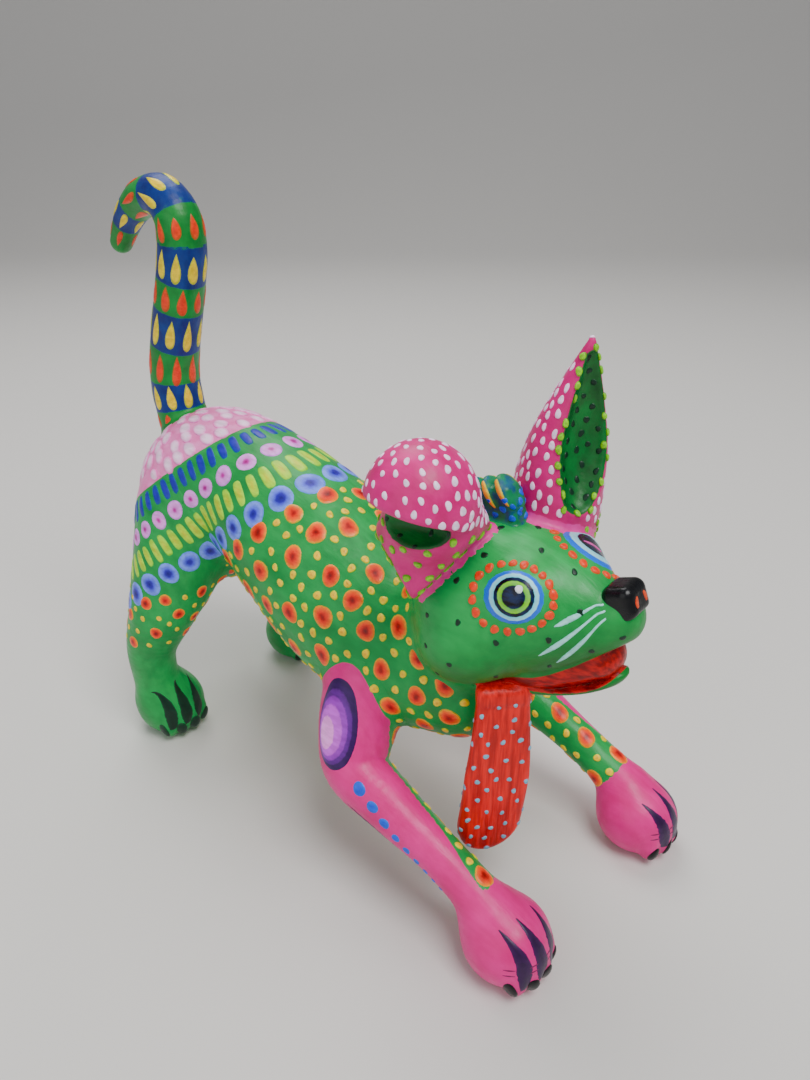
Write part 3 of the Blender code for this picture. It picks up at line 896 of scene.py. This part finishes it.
# ---------------------------------------------------------------- build
BODY_PAINT = body_paint()
torso_skin = joined(torso, closed_head, 3.0, -BURY)
torso_points = carve("torso", torso_skin, (-24, -48, 28), (24, 90, 98), COARSE, BODY_PAINT, "figure",
                     body_marks, ("torso", "neck_peg"))

leg_points = {}
for leg_name, (leg_stations, leg_paw) in LEGS.items():
    def one_leg(points, stations=leg_stations, paw=leg_paw):
        return leg(points, stations, paw)
    shape = joined(one_leg, torso, 3.5, -BURY)
    spots = array(leg_stations)
    low = np.minimum((spots[:, :3] - spots[:, 3:]).min(0), array(leg_paw) - array(PAW_RADII)) - 4
    high = np.maximum((spots[:, :3] + spots[:, 3:]).max(0), array(leg_paw) + array(PAW_RADII)) + 4
    low[2] = -1.5
    leg_points[leg_name] = carve(leg_name, shape, low, high, FINE, BODY_PAINT, "figure", body_marks,
                                 (leg_name, leg_name + "_peg"))

HEAD_PAINT = head_paint()


def head_marks(points):
    return {"mouth": 0.35 - mouth(points), "crown": in_head(points)[:, 2]}


def tail_marks(points):
    along = limb(points, TAIL, 6)[1]
    edges = array((-0.2,) + TAIL_BANDS + (1.2,))
    band = np.searchsorted(edges, along) - 1
    inside = np.minimum(along - edges[band], edges[band + 1] - along) * 105
    return {"band": np.where(band % 2 == 0, inside, -inside)}


def left_ear_marks(points):
    return {"hollow": 0.45 - left_ear_hollow(points), "root": 2.2 - closed_head(points)}


def right_ear_marks(points):
    return {"hollow": 0.4 - right_ear_hollow(points), "root": 2.6 - closed_head(points)}


head_points = carve("head", head, (-24, -80, 46), (24, -10, 98), FINE, HEAD_PAINT, "figure", head_marks,
                    ("head",))
NOSE_PAINT = plain_paint("nose_paint", (2, 3, 6), (8, 10, 16), 0.25)
carve("nose", nose, from_head([(0, -33, 0)])[0] - 8, from_head([(0, -33, 0)])[0] + 8, 0.35, NOSE_PAINT,
      "figure", None)
CREST_PAINT = crest_paint()
crest_skin = joined(crest, head, 0.8, -BURY)
crest_middle = from_head([CREST_CENTRE])[0]
crest_points = carve("crest", crest_skin, crest_middle - 9, crest_middle + 9, 0.35, CREST_PAINT,
                     "figure", None, ("crest",))
TONGUE_PAINT = tongue_paint()
tongue_skin = joined(tongue, closed_head, 0.5, -BURY)
tongue_points = carve("tongue", tongue_skin, (-24, -56, 12), (0, -34, 64), 0.45, TONGUE_PAINT,
                      "figure", None, ("tongue",))
TAIL_PAINT = tail_paint()
tail_skin = joined(tail, torso, 2.0, -BURY)
carve("tail", tail_skin, (-10, 55, 78), (10, 100, 154), FINE, TAIL_PAINT, "tail", tail_marks,
      ("tail",))
EAR_PAINT = ear_paint()
left_ear_skin = joined(left_ear, closed_head, 2.0, -BURY)
left_ear_points = carve("ear_left", left_ear_skin, (-2, -54, 74), (28, -26, 130), FINE, EAR_PAINT,
                        "ear_left", left_ear_marks, ("ear_left",))
right_ear_skin = joined(right_ear, closed_head, 2.0, -BURY)
right_ear_points = carve("ear_right", right_ear_skin, (-38, -50, 72), (0, -14, 118), FINE, EAR_PAINT,
                         "ear_right", right_ear_marks, ("ear_right",))


# ---------------------------------------------------------------- painted dabs
def body(points):
    """Torso and rear legs together, without the forelegs."""
    shape = torso(points)
    for name in ("rear_right_leg", "rear_left_leg"):
        shape = melt(shape, leg(points, *LEGS[name]), 3.5)
    return shape


def front(points):
    """Torso and forelegs together."""
    shape = torso(points)
    for name in ("front_right_leg", "front_left_leg"):
        shape = melt(shape, leg(points, *LEGS[name]), 3.5)
    return shape


def row_places(level, spacings, reach=140, start=0.5):
    """Evenly spaced places where a painted row crosses the back and runs down both thighs.

    spacings are (on the back, on the thigh); start is the first place's share of a spacing from
    the middle of the back.
    """
    up = np.cross((1, 0, 0), ROW_RISE)
    middle = ROW_RISE * level + up * 4.0
    angles = np.radians(np.arange(0, reach, 1.5))
    reaches = np.arange(48, 2, -0.3)
    rays = np.sin(angles)[:, None] * array((-1, 0, 0)) + np.cos(angles)[:, None] * up
    spots = middle + rays[:, None] * reaches[None, :, None]
    inside = body(spots.reshape(-1, 3)).reshape(len(angles), len(reaches)) < 0
    first = inside.argmax(1)
    outer = spots[np.arange(len(angles)), first]
    steps = np.linalg.norm(np.diff(outer, axis=0), axis=1)
    run = np.concatenate([[0], np.cumsum(steps)])
    places, at = [], start * spacings[0]
    while at < run[-1]:
        places.append([np.interp(at, run, outer[:, i]) for i in range(3)])
        at += spacings[0] + (spacings[1] - spacings[0]) * min(at / 45.0, 1.0)
    places = array(places)
    return np.vstack([places, places * array((-1, 1, 1))])


def row_sizes(places, on_back, on_thigh):
    share = np.clip((np.abs(places[:, 0]) - 5) / 22, 0, 1)[:, None]
    return array(on_back) * (1 - share) + array(on_thigh) * share


BLUE_BAR = dab_paint("blue_bars", [(0.0, (36, 30, 180)), (0.7, (28, 42, 168)), (1.0, (6, 84, 140))])
LILAC_DOT = dab_paint("lilac_dots", [(0.0, (150, 10, 110)), (0.2, (196, 44, 166)), (0.38, (232, 126, 230)),
                                     (0.8, (238, 152, 246)), (1.0, (206, 120, 226))])
LIME_BAR = dab_paint("lime_bars", [(0.0, (204, 206, 10)), (0.45, (184, 222, 14)), (0.85, (166, 230, 30)),
                                   (1.0, (100, 196, 40))])
PERIWINKLE_DOT = dab_paint("periwinkle_dots", [(0.0, (26, 8, 120)), (0.28, (44, 24, 168)),
                                               (0.45, (80, 92, 232)), (0.8, (116, 150, 255)),
                                               (1.0, (86, 130, 236))])
ORANGE_DOT = dab_paint("orange_dots", [(0.0, (120, 2, 0)), (0.22, (176, 6, 0)), (0.42, (236, 36, 0)),
                                       (0.64, (254, 76, 0)), (0.84, (255, 124, 0)), (0.94, (255, 160, 10)),
                                       (1.0, (170, 170, 20))], scatter=0.18)
YELLOW_DOT = dab_paint("yellow_dots", [(0.0, (236, 170, 0)), (0.4, (255, 206, 0)), (0.85, (240, 214, 0)),
                                       (1.0, (120, 190, 10))])
CAP_PETAL = dab_paint("cap_petals", [(0.0, (255, 226, 250)), (0.6, (255, 200, 240)), (0.85, (250, 150, 214)),
                                     (1.0, (236, 90, 180))])

places = row_places(BAR_ROW, (3.5, 3.2))
dabs("rump_blue_bars", body, places, ROW_RISE, row_sizes(places, (1.15, 3.1), (1.0, 3.1)), BLUE_BAR,
     "figure", kind="capsule", seed=2)
places = row_places(LILAC_ROW, (7.3, 5.3))
dabs("rump_lilac_dots", body, places, ROW_RISE, row_sizes(places, (2.9, 2.9), (2.1, 2.5)), LILAC_DOT,
     "figure", seed=3)
places = row_places(LIME_ROW, (4.3, 3.1))
dabs("rump_lime_bars", body, places, ROW_RISE, row_sizes(places, (1.5, 3.7), (1.0, 3.2)), LIME_BAR,
     "figure", kind="capsule", seed=4)
places = row_places(PERIWINKLE_ROW, (8.3, 6.3))
dabs("rump_periwinkle_dots", body, places, ROW_RISE, row_sizes(places, (3.7, 3.5), (2.7, 3.3)),
     PERIWINKLE_DOT, "figure", seed=5)

torso_cap = torso_points[(row(torso_points) > CAP_ROW + 1.6) & (torso_points[:, 1] > 30)
                         & (torso(torso_points) > -0.2) & (tail(torso_points) > 1.8)]
places = spread(torso_cap, 3.4)
outwards = places - array(TAIL[0][:3])
dabs("rump_cap_petals", torso, places, outwards, (1.75, 2.7), CAP_PETAL, "figure", height=0.35,
     kind="oval", seed=6)

whole = torso_points[(row(torso_points) < FLANK_ROW) & (np.abs(torso(torso_points)) < 0.15)
                     & (skull(torso_points) > 0.8)]
rear = np.vstack([leg_points["rear_right_leg"], leg_points["rear_left_leg"]])
rear_low = rear[(rear[:, 2] > HOCK_LOW) & (rear[:, 2] < HOCK_HIGH)]
front_legs = np.vstack([leg_points["front_right_leg"], leg_points["front_left_leg"]])
clear = {name: leg(whole, *LEGS[name]) for name in LEGS}
whole_marks = pink_part(whole)
open_torso = whole[(whole_marks < -2.6) & (np.min(list(clear.values()), axis=0) > 1.0)]
leg_marks = pink_part(front_legs)
open_legs = front_legs[(leg_marks < -2.3) & (torso(front_legs) > 1.0) & (front_legs[:, 2] > 15)]
field_points = np.vstack([open_torso, open_legs])
orange = spread(field_points, 7.4)
loose = np.vstack([whole[(whole_marks < -1.3) & (np.min(list(clear.values()), axis=0) > 0.4)],
                   front_legs[(leg_marks < -1.2) & (torso(front_legs) > 0.4) & (front_legs[:, 2] > 14)]])
yellow = spread(loose, 3.4, nearest_to(loose, orange) - 0.5)
dabs("body_orange_dots", front, orange, (0, 0.35, 1), (2.4, 2.75), ORANGE_DOT, "figure", height=0.3,
     seed=7, wobble=0.07)
dabs("body_yellow_dots", front, yellow, (0, 0.3, 1), (0.95, 1.05), YELLOW_DOT, "figure", height=0.35,
     seed=8, wobble=0.1)
small = spread(rear_low[row(rear_low) < FLANK_ROW + 1], 5.6)
dabs("hock_orange_dots", body, small, (0, 0.2, 1), (1.7, 1.9), ORANGE_DOT, "figure", height=0.25,
     seed=9)
tiny = spread(rear_low, 2.9, nearest_to(rear_low, small) - 0.6)
dabs("hock_yellow_dots", body, tiny, (0, 0.2, 1), (0.75, 0.85), YELLOW_DOT, "figure", height=0.25,
     seed=10)

# the head
RIGHT_EYE = (-13.1, -18.1, 6.1)
LEFT_EYE = (6.6, -22.6, 7.0)
EYE_RADIUS = 6.5
EYE_DOTS = 20
EYE_DOT_CIRCLE = 8.5
RIGHT_EYE_PAINT = eye_paint("right_eye", [
    (0.0, (2, 3, 6)), (0.33, (2, 3, 6)), (0.36, (110, 200, 0)), (0.48, (140, 226, 6)),
    (0.51, (2, 3, 6)), (0.62, (2, 3, 6)), (0.65, (120, 230, 246)), (0.78, (160, 240, 250)),
    (0.81, (0, 104, 240)), (1.0, (0, 120, 246))])
LEFT_EYE_PAINT = eye_paint("left_eye", [
    (0.0, (2, 3, 6)), (0.5, (2, 3, 6)), (0.54, (150, 236, 248)), (0.76, (170, 242, 250)),
    (0.80, (0, 104, 240)), (1.0, (0, 120, 246))])
WHITE_DAB = dab_paint("highlights", [(0.0, (250, 252, 255)), (1.0, (220, 236, 250))], 0.25)
PINK_DAB = dab_paint("iris_streak", [(0.0, (240, 90, 190)), (1.0, (214, 50, 150))], 0.3)
EYE_DOT = dab_paint("eye_dots", [(0.0, (236, 40, 0)), (0.6, (246, 62, 6)), (1.0, (236, 90, 40))])
DARK_DOT = dab_paint("head_dots", [(0.0, (2, 40, 24)), (0.7, (2, 48, 28)), (1.0, (0, 74, 36))])
PALE_STROKE = dab_paint("whiskers", [(0.0, (176, 240, 236)), (0.7, (150, 228, 220)), (1.0, (90, 200, 170))])
dabs("eye_right", head, from_head([RIGHT_EYE]), (0, 0, 1), (EYE_RADIUS, EYE_RADIUS), RIGHT_EYE_PAINT,
     "figure", height=0.55, wobble=0.015, seed=11)
dabs("eye_left", head, from_head([LEFT_EYE]), (0, 0, 1), (EYE_RADIUS, EYE_RADIUS), LEFT_EYE_PAINT,
     "figure", height=0.55, wobble=0.015, seed=12)
for eye_name, eye in (("right", RIGHT_EYE), ("left", LEFT_EYE)):
    ring = around(head, from_head([eye])[0], EYE_DOT_CIRCLE, EYE_DOTS)
    dabs("eye_dots_" + eye_name, head, ring, (0, 0, 1), (0.86, 0.94), EYE_DOT, "figure", height=0.5,
         wobble=0.08, seed=13)


def eye_surface(points):
    """The head's surface, raised to the top of the eyes' paint."""
    return head(points) - 0.45


glint = from_head([RIGHT_EYE])[0] + array((0.5, -0.55, 1.5))
dabs("eye_glint", eye_surface, [glint], (0, 0, 1), (0.75, 0.8), WHITE_DAB, "figure", height=0.2,
     seed=14)
middle = from_head([LEFT_EYE])[0]
strokes("iris_streak", eye_surface, [[(*(middle + array((-1.2, 0.6, 2.4))), 0.15), (*middle, 0.7),
                                      (*(middle + array((1.0, -0.9, -2.0))), 0.2)]], PINK_DAB, "figure",
        height=0.12, slot="head_paint")
whiskers = []
for side in (1, -1):
    for start, stop in (((-5.0, -31.0, 1.3), (-12, -23.8, -1.4)), ((-5.3, -31.2, -0.1), (-12, -18.2, -7.3)),
                        ((-5.4, -31, -1.8), (-9.2, -19.8, -9.8))):
        start, stop = array(start), array(stop)
        path = []
        for share, half in ((0, 0.22), (0.3, 0.3), (0.65, 0.62), (0.85, 0.5), (1, 0.06)):
            spot = start + (stop - start) * share
            path.append((*from_head([spot * array((side, 1, 1))])[0], half))
        whiskers.append(path)
strokes("whiskers", head, whiskers, PALE_STROKE, "figure", slot="head_paint", seed=15)
open_head = head_points[(mouth(head_points) > 2.2) & (nose(head_points) > 2.5)
                        & (left_ear(head_points) > 2.0) & (right_ear(head_points) > 2.0)
                        & (crest(head_points) > 1.5) & (torso(head_points) > 1.5)
                        & (nearest_to(head_points, from_head([RIGHT_EYE, LEFT_EYE])) > 10.4)
                        & (in_head(head_points)[:, 2] > -12)]
dabs("head_dots", head, spread(open_head, 6.3), (0, 0, 1), (0.62, 0.7), DARK_DOT, "figure", height=0.2,
     wobble=0.12, seed=16)

# the nose's nostrils
NOSTRIL = dab_paint("nostrils", [(0.0, (240, 80, 20)), (1.0, (220, 60, 20))])
nostrils = [[(*from_head([(x, -36.0, 0.7)])[0], 0.3), (*from_head([(x * 1.4, -36.0, -0.5)])[0], 0.6),
             (*from_head([(x * 1.4, -36.0, -1.5)])[0], 0.3)] for x in (-1.2, 1.2)]
strokes("nostrils", nose, nostrils, NOSTRIL, "figure", height=0.12, slot="head_paint")

# the ears
EAR_DOT = dab_paint("ear_dots", [(0.0, (240, 222, 255)), (0.5, (255, 228, 255)), (0.85, (255, 214, 246)),
                                 (1.0, (244, 130, 210))])
LIME_DOT = dab_paint("ear_rim_dots", [(0.0, (116, 190, 0)), (0.5, (144, 222, 0)), (1.0, (84, 160, 0))])


def left_cone(points):
    return limb(points, LEFT_EAR)[0]


outside = left_ear_points[(left_cone(left_ear_points) > -0.15) & (left_ear_hollow(left_ear_points) > 1.9)
                          & (closed_head(left_ear_points) > 3.0)]
dabs("ear_left_dots", left_ear, spread(outside, 2.05), (0, 0, 1), (0.62, 1.0), EAR_DOT, "ear_left",
     wobble=0.1, seed=17)
rim = left_ear_points[(left_cone(left_ear_points) > -0.7) & (left_ear_hollow(left_ear_points) < 0.9)
                      & (closed_head(left_ear_points) > 0.8)]
low_front = left_ear_points[(left_ear_points[:, 2] < 90.5) & (left_ear_points[:, 1] < -43)
                            & (closed_head(left_ear_points) > 0.8)]
dabs("ear_left_rim_dots", left_ear, spread(np.vstack([rim, low_front]), 2.5), (0, 0, 1), (0.68, 0.85),
     LIME_DOT, "ear_left", height=0.5, wobble=0.1, seed=18)
inner = left_ear_points[(left_ear_hollow(left_ear_points) < 0.1) & (left_cone(left_ear_points) < -1.6)]
dabs("ear_left_inner_dots", left_ear, spread(inner, 2.4), (0, 0, 1), (0.6, 0.72), DARK_DOT, "ear_left",
     wobble=0.12, seed=19)

above = above_rim(right_ear_points)
dome = right_ear_points[(above > 1.0) & (closed_head(right_ear_points) > 2.6)]
places = spread(dome, 2.15)
share = np.clip((places - array(RIGHT_EAR_DOME[0])) @ array((0.7, -0.7, -0.2)) / 10, 0, 1)[:, None]
dabs("ear_right_dots", right_ear, places, (0.3, 0.5, 1), array((0.56, 0.74)) + share * array((0.3, 0.36)),
     EAR_DOT, "ear_right", wobble=0.1, seed=20)
flap = right_ear_points[(above < -1.5) & (right_ear_hollow(right_ear_points) > 1.2)
                        & (closed_head(right_ear_points) > 3.2)]
dabs("ear_right_flap_dots", right_ear, spread(flap, 3.3), (0, 0, 1), (0.78, 0.86), LIME_DOT, "ear_right",
     height=0.45, wobble=0.1, seed=21)
inner = right_ear_points[(right_ear_hollow(right_ear_points) < 0.1) & (above < -1.0)]
if len(inner):
    dabs("ear_right_inner_dots", right_ear, spread(inner, 3.0), (0, 0, 1), (0.5, 0.6), DARK_DOT,
         "ear_right", wobble=0.12, seed=22)

# the crest
BLUE_DOT = dab_paint("blue_dots", [(0.0, (2, 70, 220)), (0.7, (4, 88, 232)), (1.0, (10, 110, 210))])
CREST_STROKE = dab_paint("crest_strokes", [(0.0, (255, 150, 10)), (0.6, (236, 190, 30)),
                                           (1.0, (110, 180, 40))])
low_crest = crest_points[(in_head(crest_points)[:, 2] < CREST_CENTRE[2] + 2.0) & (crest(crest_points) > -0.1)
                         & (closed_head(crest_points) > 0.9)]
dabs("crest_dots", crest, spread(low_crest, 2.0), (0, 0, 1), (0.75, 0.8), BLUE_DOT, "figure",
     wobble=0.15, seed=23)
leaves = []
for i in range(CREST_RIDGES):
    along = CREST_SIZE[1] * ((i + 0.5) / CREST_RIDGES - 0.5) - 1.2
    for side in (-1, 1):
        leaf = []
        for z, half in ((0.0, 0.15), (2.0, 0.75), (4.4, 0.8), (6.0, 0.25)):
            spot = array(CREST_CENTRE) + array((side * 3.0 * (1 - (z / 9) ** 2), along + 0.35 * z, z))
            leaf.append((*from_head([spot])[0], half))
        leaves.append(leaf)
strokes("crest_strokes", crest, leaves, CREST_STROKE, "figure", slot="crest_paint", seed=24)

# the tongue
TONGUE_DOT = dab_paint("tongue_dots", [(0.0, (96, 176, 206)), (0.6, (120, 190, 216)), (1.0, (130, 150, 180))])
face = tongue_points[(closed_head(tongue_points) > 1.5) & (tongue_points[:, 2] < 58)]
dabs("tongue_dots", tongue, spread(face, 2.9), (0, 0, 1), (0.58, 0.62), TONGUE_DOT, "figure", height=0.3,
     wobble=0.12, seed=25)

# the tail
YELLOW_PETAL = dab_paint("tail_yellow_petals", [(0.0, (236, 200, 0)), (0.7, (246, 216, 0)),
                                                (1.0, (140, 180, 20))])
ORANGE_PETAL = dab_paint("tail_orange_petals", [(0.0, (236, 40, 0)), (0.7, (240, 64, 0)),
                                                (1.0, (150, 90, 20))])
tail_path = smooth_path(TAIL, 12)
tail_run = np.concatenate([[0], np.cumsum(np.linalg.norm(np.diff(tail_path[:, :3], axis=0), axis=1))])
petals = {0: [[], [], []], 1: [[], [], []]}
bounds = (0.0,) + TAIL_BANDS + (1.0,)
for band, (start, stop) in enumerate(zip(bounds, bounds[1:])):
    middle = (start + stop) / 2
    station = [np.interp(middle * tail_run[-1], tail_run, tail_path[:, i]) for i in range(4)]
    later = [np.interp((middle + 0.01) * tail_run[-1], tail_run, tail_path[:, i]) for i in range(3)]
    heading = array(later) - array(station[:3])
    heading /= np.linalg.norm(heading)
    over = np.cross(heading, (1, 0, 0))
    count = max(5, int(round(2 * math.pi * station[3] / 4.5)))
    length = (stop - start) * tail_run[-1]
    for k in range(count):
        angle = 2 * math.pi * (k + 0.5 * (band % 2)) / count
        outward = math.cos(angle) * array((1, 0, 0)) + math.sin(angle) * over
        group = petals[band % 2]
        group[0].append(array(station[:3]) + outward * station[3])
        group[1].append(heading)
        group[2].append((min(1.35, station[3] * 0.23), length * 0.42))
for kind, petal_name, paint in ((1, "tail_yellow_petals", YELLOW_PETAL),
                                (0, "tail_orange_petals", ORANGE_PETAL)):
    spots, headings, halves = petals[kind]
    dabs(petal_name, tail, spots, array(headings), halves, paint, "tail", kind="petal",
         wobble=0.06, seed=26)

# the right foreleg's patch, the row of blue dots on both forelegs, and the paws
PATCH_PAINT = dab_paint("shoulder_patch", [
    (0.0, (255, 166, 250)), (0.34, (255, 150, 246)), (0.37, (214, 84, 234)), (0.54, (206, 76, 226)),
    (0.57, (160, 44, 196)), (0.68, (150, 40, 188)), (0.71, (98, 24, 140)), (0.80, (92, 22, 132)),
    (0.83, (54, 12, 88)), (1.0, (48, 10, 80))], 0.34, 0.03)
PATCH_CENTRE = array((-27.2, -11.0, 43.2))
PATCH_RISE = array((10.3, 7.0, 17.2))
PATCH_HALF = (6.6, 10.6)
for side, side_name, lean in ((1, "right", (-0.5, -0.3)), (-1, "left", (0.5, -0.3))):
    mirror = array((side, 1, 1))
    dabs("shoulder_patch_" + side_name, front, [PATCH_CENTRE * mirror], PATCH_RISE * mirror, PATCH_HALF,
         PATCH_PAINT, "figure", height=0.3, wobble=0.015, seed=30, lean=lean,
         fineness=4)
ROW_DOTS = 9
share = (1 - 0.9 ** np.arange(ROW_DOTS)) / (1 - 0.9 ** (ROW_DOTS - 1))
forearm = array((-30.9, -21.5, 33.2)) + share[:, None] * array((1.7, -22.0, -15.7))
sizes = np.interp(share, (0, 1), (1.5, 0.5))[:, None] * array((1.0, 1.1))
dabs("forearm_blue_dots", front, np.vstack([forearm, forearm * array((-1, 1, 1)) + array((1.0, -2.0, 0))]),
     (0, -0.8, -0.55), np.vstack([sizes, sizes]), BLUE_DOT, "figure", seed=40)

# painted shade: a thin dark purple stroke along the underside of each pink forearm, where shade falls
FOREARM_SHADE_LINE = [(-31.2, -18.5, 28.5, 0.12), (-31.2, -24.5, 25.0, 0.75), (-30.6, -31.5, 20.5, 0.7),
                (-29.4, -38.5, 16.0, 0.12)]
left_forearm_shade_line = [(-x + 1.0, y - 2.0, z, half) for x, y, z, half in FOREARM_SHADE_LINE]
strokes("forearm_shade_lines", front, [FOREARM_SHADE_LINE, left_forearm_shade_line],
        dab_paint("forearm_shade_lines", [(0.0, (40, 6, 60)), (1.0, (70, 12, 84))], 0.34), "figure",
        height=0.1, slot="foreleg_paint", seed=44)

PURPLE = dab_paint("paw_strokes", [(0.0, (44, 10, 60)), (0.7, (56, 14, 72)), (1.0, (90, 20, 90))], 0.34)
CLAW = dab_paint("claws", [(0.0, (3, 2, 5)), (0.8, (5, 3, 8)), (1.0, (20, 4, 20))], 0.3, 0.03)
TOE_LINE = dab_paint("toe_lines", [(0.0, (110, 10, 70)), (1.0, (140, 20, 90))], 0.36)
DARK_GREEN = dab_paint("hind_paw_strokes", [(0.0, (0, 40, 24)), (0.7, (0, 48, 30)), (1.0, (0, 70, 36))], 0.34)
# between the toes, from the paw's middle: (start, end)
GAPS = (((-5.1, -0.8, 8.6), (-5.6, -8.6, -3.4)), ((-1.0, -2.2, 9.4), (-1.1, -10.6, -3.0)),
        ((4.4, -2.2, 8.4), (3.6, -10.2, -2.8)))
CLAW_TURNS = (-52, -20, 7, 36)
for paw_name, (_, paw_centre) in LEGS.items():
    side = 1 if "right" in paw_name else -1
    mirror = array((side, 1, 1))
    middle = array(paw_centre)
    fore = "front" in paw_name
    paw_slot = "foreleg_paint" if fore else "hind_leg_paint"

    def one_paw(points, stations=LEGS[paw_name][0], centre=paw_centre):
        return leg(points, stations, centre)

    paths = []
    for start, stop in GAPS:
        start, stop = array(start), array(stop)
        path = []
        for share, half in ((0, 0.1), (0.22, 0.8), (0.5, 1.7), (0.8, 1.9), (1, 1.1)):
            bulge = math.sin(share * math.pi) * 3.0
            spot = start + (stop - start) * share + array((0, -bulge, bulge * 0.5))
            path.append((*(middle + mirror * spot), half))
        paths.append(path)
    strokes(paw_name + "_strokes", one_paw, paths, PURPLE if fore else DARK_GREEN, "figure", height=0.12,
            slot=paw_slot, seed=41)
    tips = []
    for turn in CLAW_TURNS:
        a = math.radians(turn)
        tips.append(middle + mirror * array((math.sin(a) * 10.0, -math.cos(a) * 10.4, -4.2)))
    dabs(paw_name + "_claws", one_paw, tips, (0, 0, 1), (1.9, 2.6), CLAW if fore else DARK_GREEN, "figure",
         height=0.5, seed=42)
    if fore:
        lines = []
        for turn in CLAW_TURNS:
            for drop in (1.4, 0.0):
                line = []
                for offset, half in ((-8, 0.05), (0, 0.2), (8, 0.06)):
                    a = math.radians(turn + offset)
                    spot = array((math.sin(a) * 9.6, -math.cos(a) * 9.6, 1.0 + drop))
                    line.append((*(middle + mirror * spot), half))
                lines.append(line)
        strokes(paw_name + "_toe_lines", one_paw, lines, TOE_LINE, "figure", height=0.08, slot=paw_slot,
                seed=43, sink=0.03)

# the bare pegs of the plug-in pieces, hidden until a piece is pulled out
PEG_PAINT = plain_paint("bare_wood", (168, 126, 78), (200, 160, 108), 0.7)
PEG_OVERRUN = 4
PEG_CELL = 0.4
# body, root, axis, radius, length below the root
PEGS = (
    ("tail", TAIL[0][:3], (0, 0.11, 0.99), 2.6, 11),
    ("ear_left", (10.5, -36.5, 88), (0.16, -0.1, 1.0), 2.2, 9),
    ("ear_right", (-13.5, -29.5, 87), (-0.55, 0.05, 0.83), 2.2, 9),
)
for peg_body, root, axis, radius, length in PEGS:
    direction = array(axis) / np.linalg.norm(axis)
    foot, top = array(root) - direction * length, array(root) + direction * PEG_OVERRUN

    def one_peg(points, foot=foot, top=top, radius=radius):
        q = points - foot
        run = top - foot
        run_length = np.linalg.norm(run)
        along = q @ run / run_length
        across = np.linalg.norm(q - along[:, None] * run / run_length, axis=1) - radius
        return np.maximum(across, np.maximum(-along, along - run_length))

    carve(peg_body + "_peg", one_peg, np.minimum(foot, top) - 4, np.maximum(foot, top) + 4, PEG_CELL,
          PEG_PAINT, peg_body, None)

# ---------------------------------------------------------------- floor, light and camera
FLOOR_COLOUR = (0.70, 0.68, 0.65, 1)
SKY_COLOUR, SKY_STRENGTH = (0.86, 0.88, 0.92, 1), 0.42
# name, place in the frame, size, power
LAMPS = (("key", (-0.1, -0.4, 0.8), 0.4, 5.6), ("fill", (-0.75, 0.0, 0.4), 0.7, 1.5),
         ("top", (0.2, 0.35, 0.75), 0.5, 3.8))
LAMP_TARGET = (0, 0, 0.06)
CAMERA_LENS, CAMERA_SENSOR = 27.03, 36
CAMERA_PLACE = (-0.1229, -0.1159 - FRAME_Y * MM, 0.165)
CAMERA_HEADING = (0.75, 0.66)
CAMERA_PITCH = 28                          # degrees below the horizon


def studio():
    mesh = bpy.data.meshes.new("floor")
    heading = array(CAMERA_HEADING) / math.hypot(*CAMERA_HEADING)
    sideways = array((heading[1], -heading[0]))
    line = [(-2.5, 0.0)] + [(0.9 + 0.7 * math.sin(a), 0.7 - 0.7 * math.cos(a))
                            for a in np.linspace(0, math.pi / 2, 24)] + [(1.6, 3.5)]
    corners = []
    for along, height in line:
        for across in (-4.0, 4.0):
            spot = heading * along + sideways * across
            corners.append((spot[0], spot[1], height))
    rows = [(2 * i, 2 * i + 1, 2 * i + 3, 2 * i + 2) for i in range(len(line) - 1)]
    mesh.from_pydata(corners, [], rows)
    mesh.shade_smooth()
    floor = bpy.data.objects.new("floor", mesh)
    bpy.context.scene.collection.objects.link(floor)
    material = bpy.data.materials.new("floor")
    material.use_nodes = True
    shader = material.node_tree.nodes["Principled BSDF"]
    shader.inputs["Base Color"].default_value = FLOOR_COLOUR
    shader.inputs["Roughness"].default_value = 0.7
    mesh.materials.append(material)
    floor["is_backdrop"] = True
    world = bpy.data.worlds.new("studio")
    bpy.context.scene.world = world
    world.use_nodes = True
    world.node_tree.nodes["Background"].inputs["Color"].default_value = SKY_COLOUR
    world.node_tree.nodes["Background"].inputs["Strength"].default_value = SKY_STRENGTH
    for name, place, size, power in LAMPS:
        light = bpy.data.lights.new(name, "AREA")
        light.size = size
        light.energy = power
        lamp = bpy.data.objects.new(name, light)
        lamp.location = place
        direction = array(LAMP_TARGET) - array(place)
        lamp.rotation_mode = "QUATERNION"
        lamp.rotation_quaternion = Vector(direction).to_track_quat("-Z", "Y")
        bpy.context.scene.collection.objects.link(lamp)


def camera():
    data = bpy.data.cameras.new("camera")
    data.sensor_width = CAMERA_SENSOR
    data.lens = CAMERA_LENS
    thing = bpy.data.objects.new("camera", data)
    thing.location = CAMERA_PLACE
    heading = Vector((*CAMERA_HEADING, 0)).normalized()
    down = math.radians(CAMERA_PITCH)
    look = heading * math.cos(down) + Vector((0, 0, -math.sin(down)))
    thing.rotation_mode = "QUATERNION"
    thing.rotation_quaternion = look.to_track_quat("-Z", "Y")
    bpy.context.scene.collection.objects.link(thing)
    bpy.context.scene.camera = thing


studio()
camera()
low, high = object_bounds()
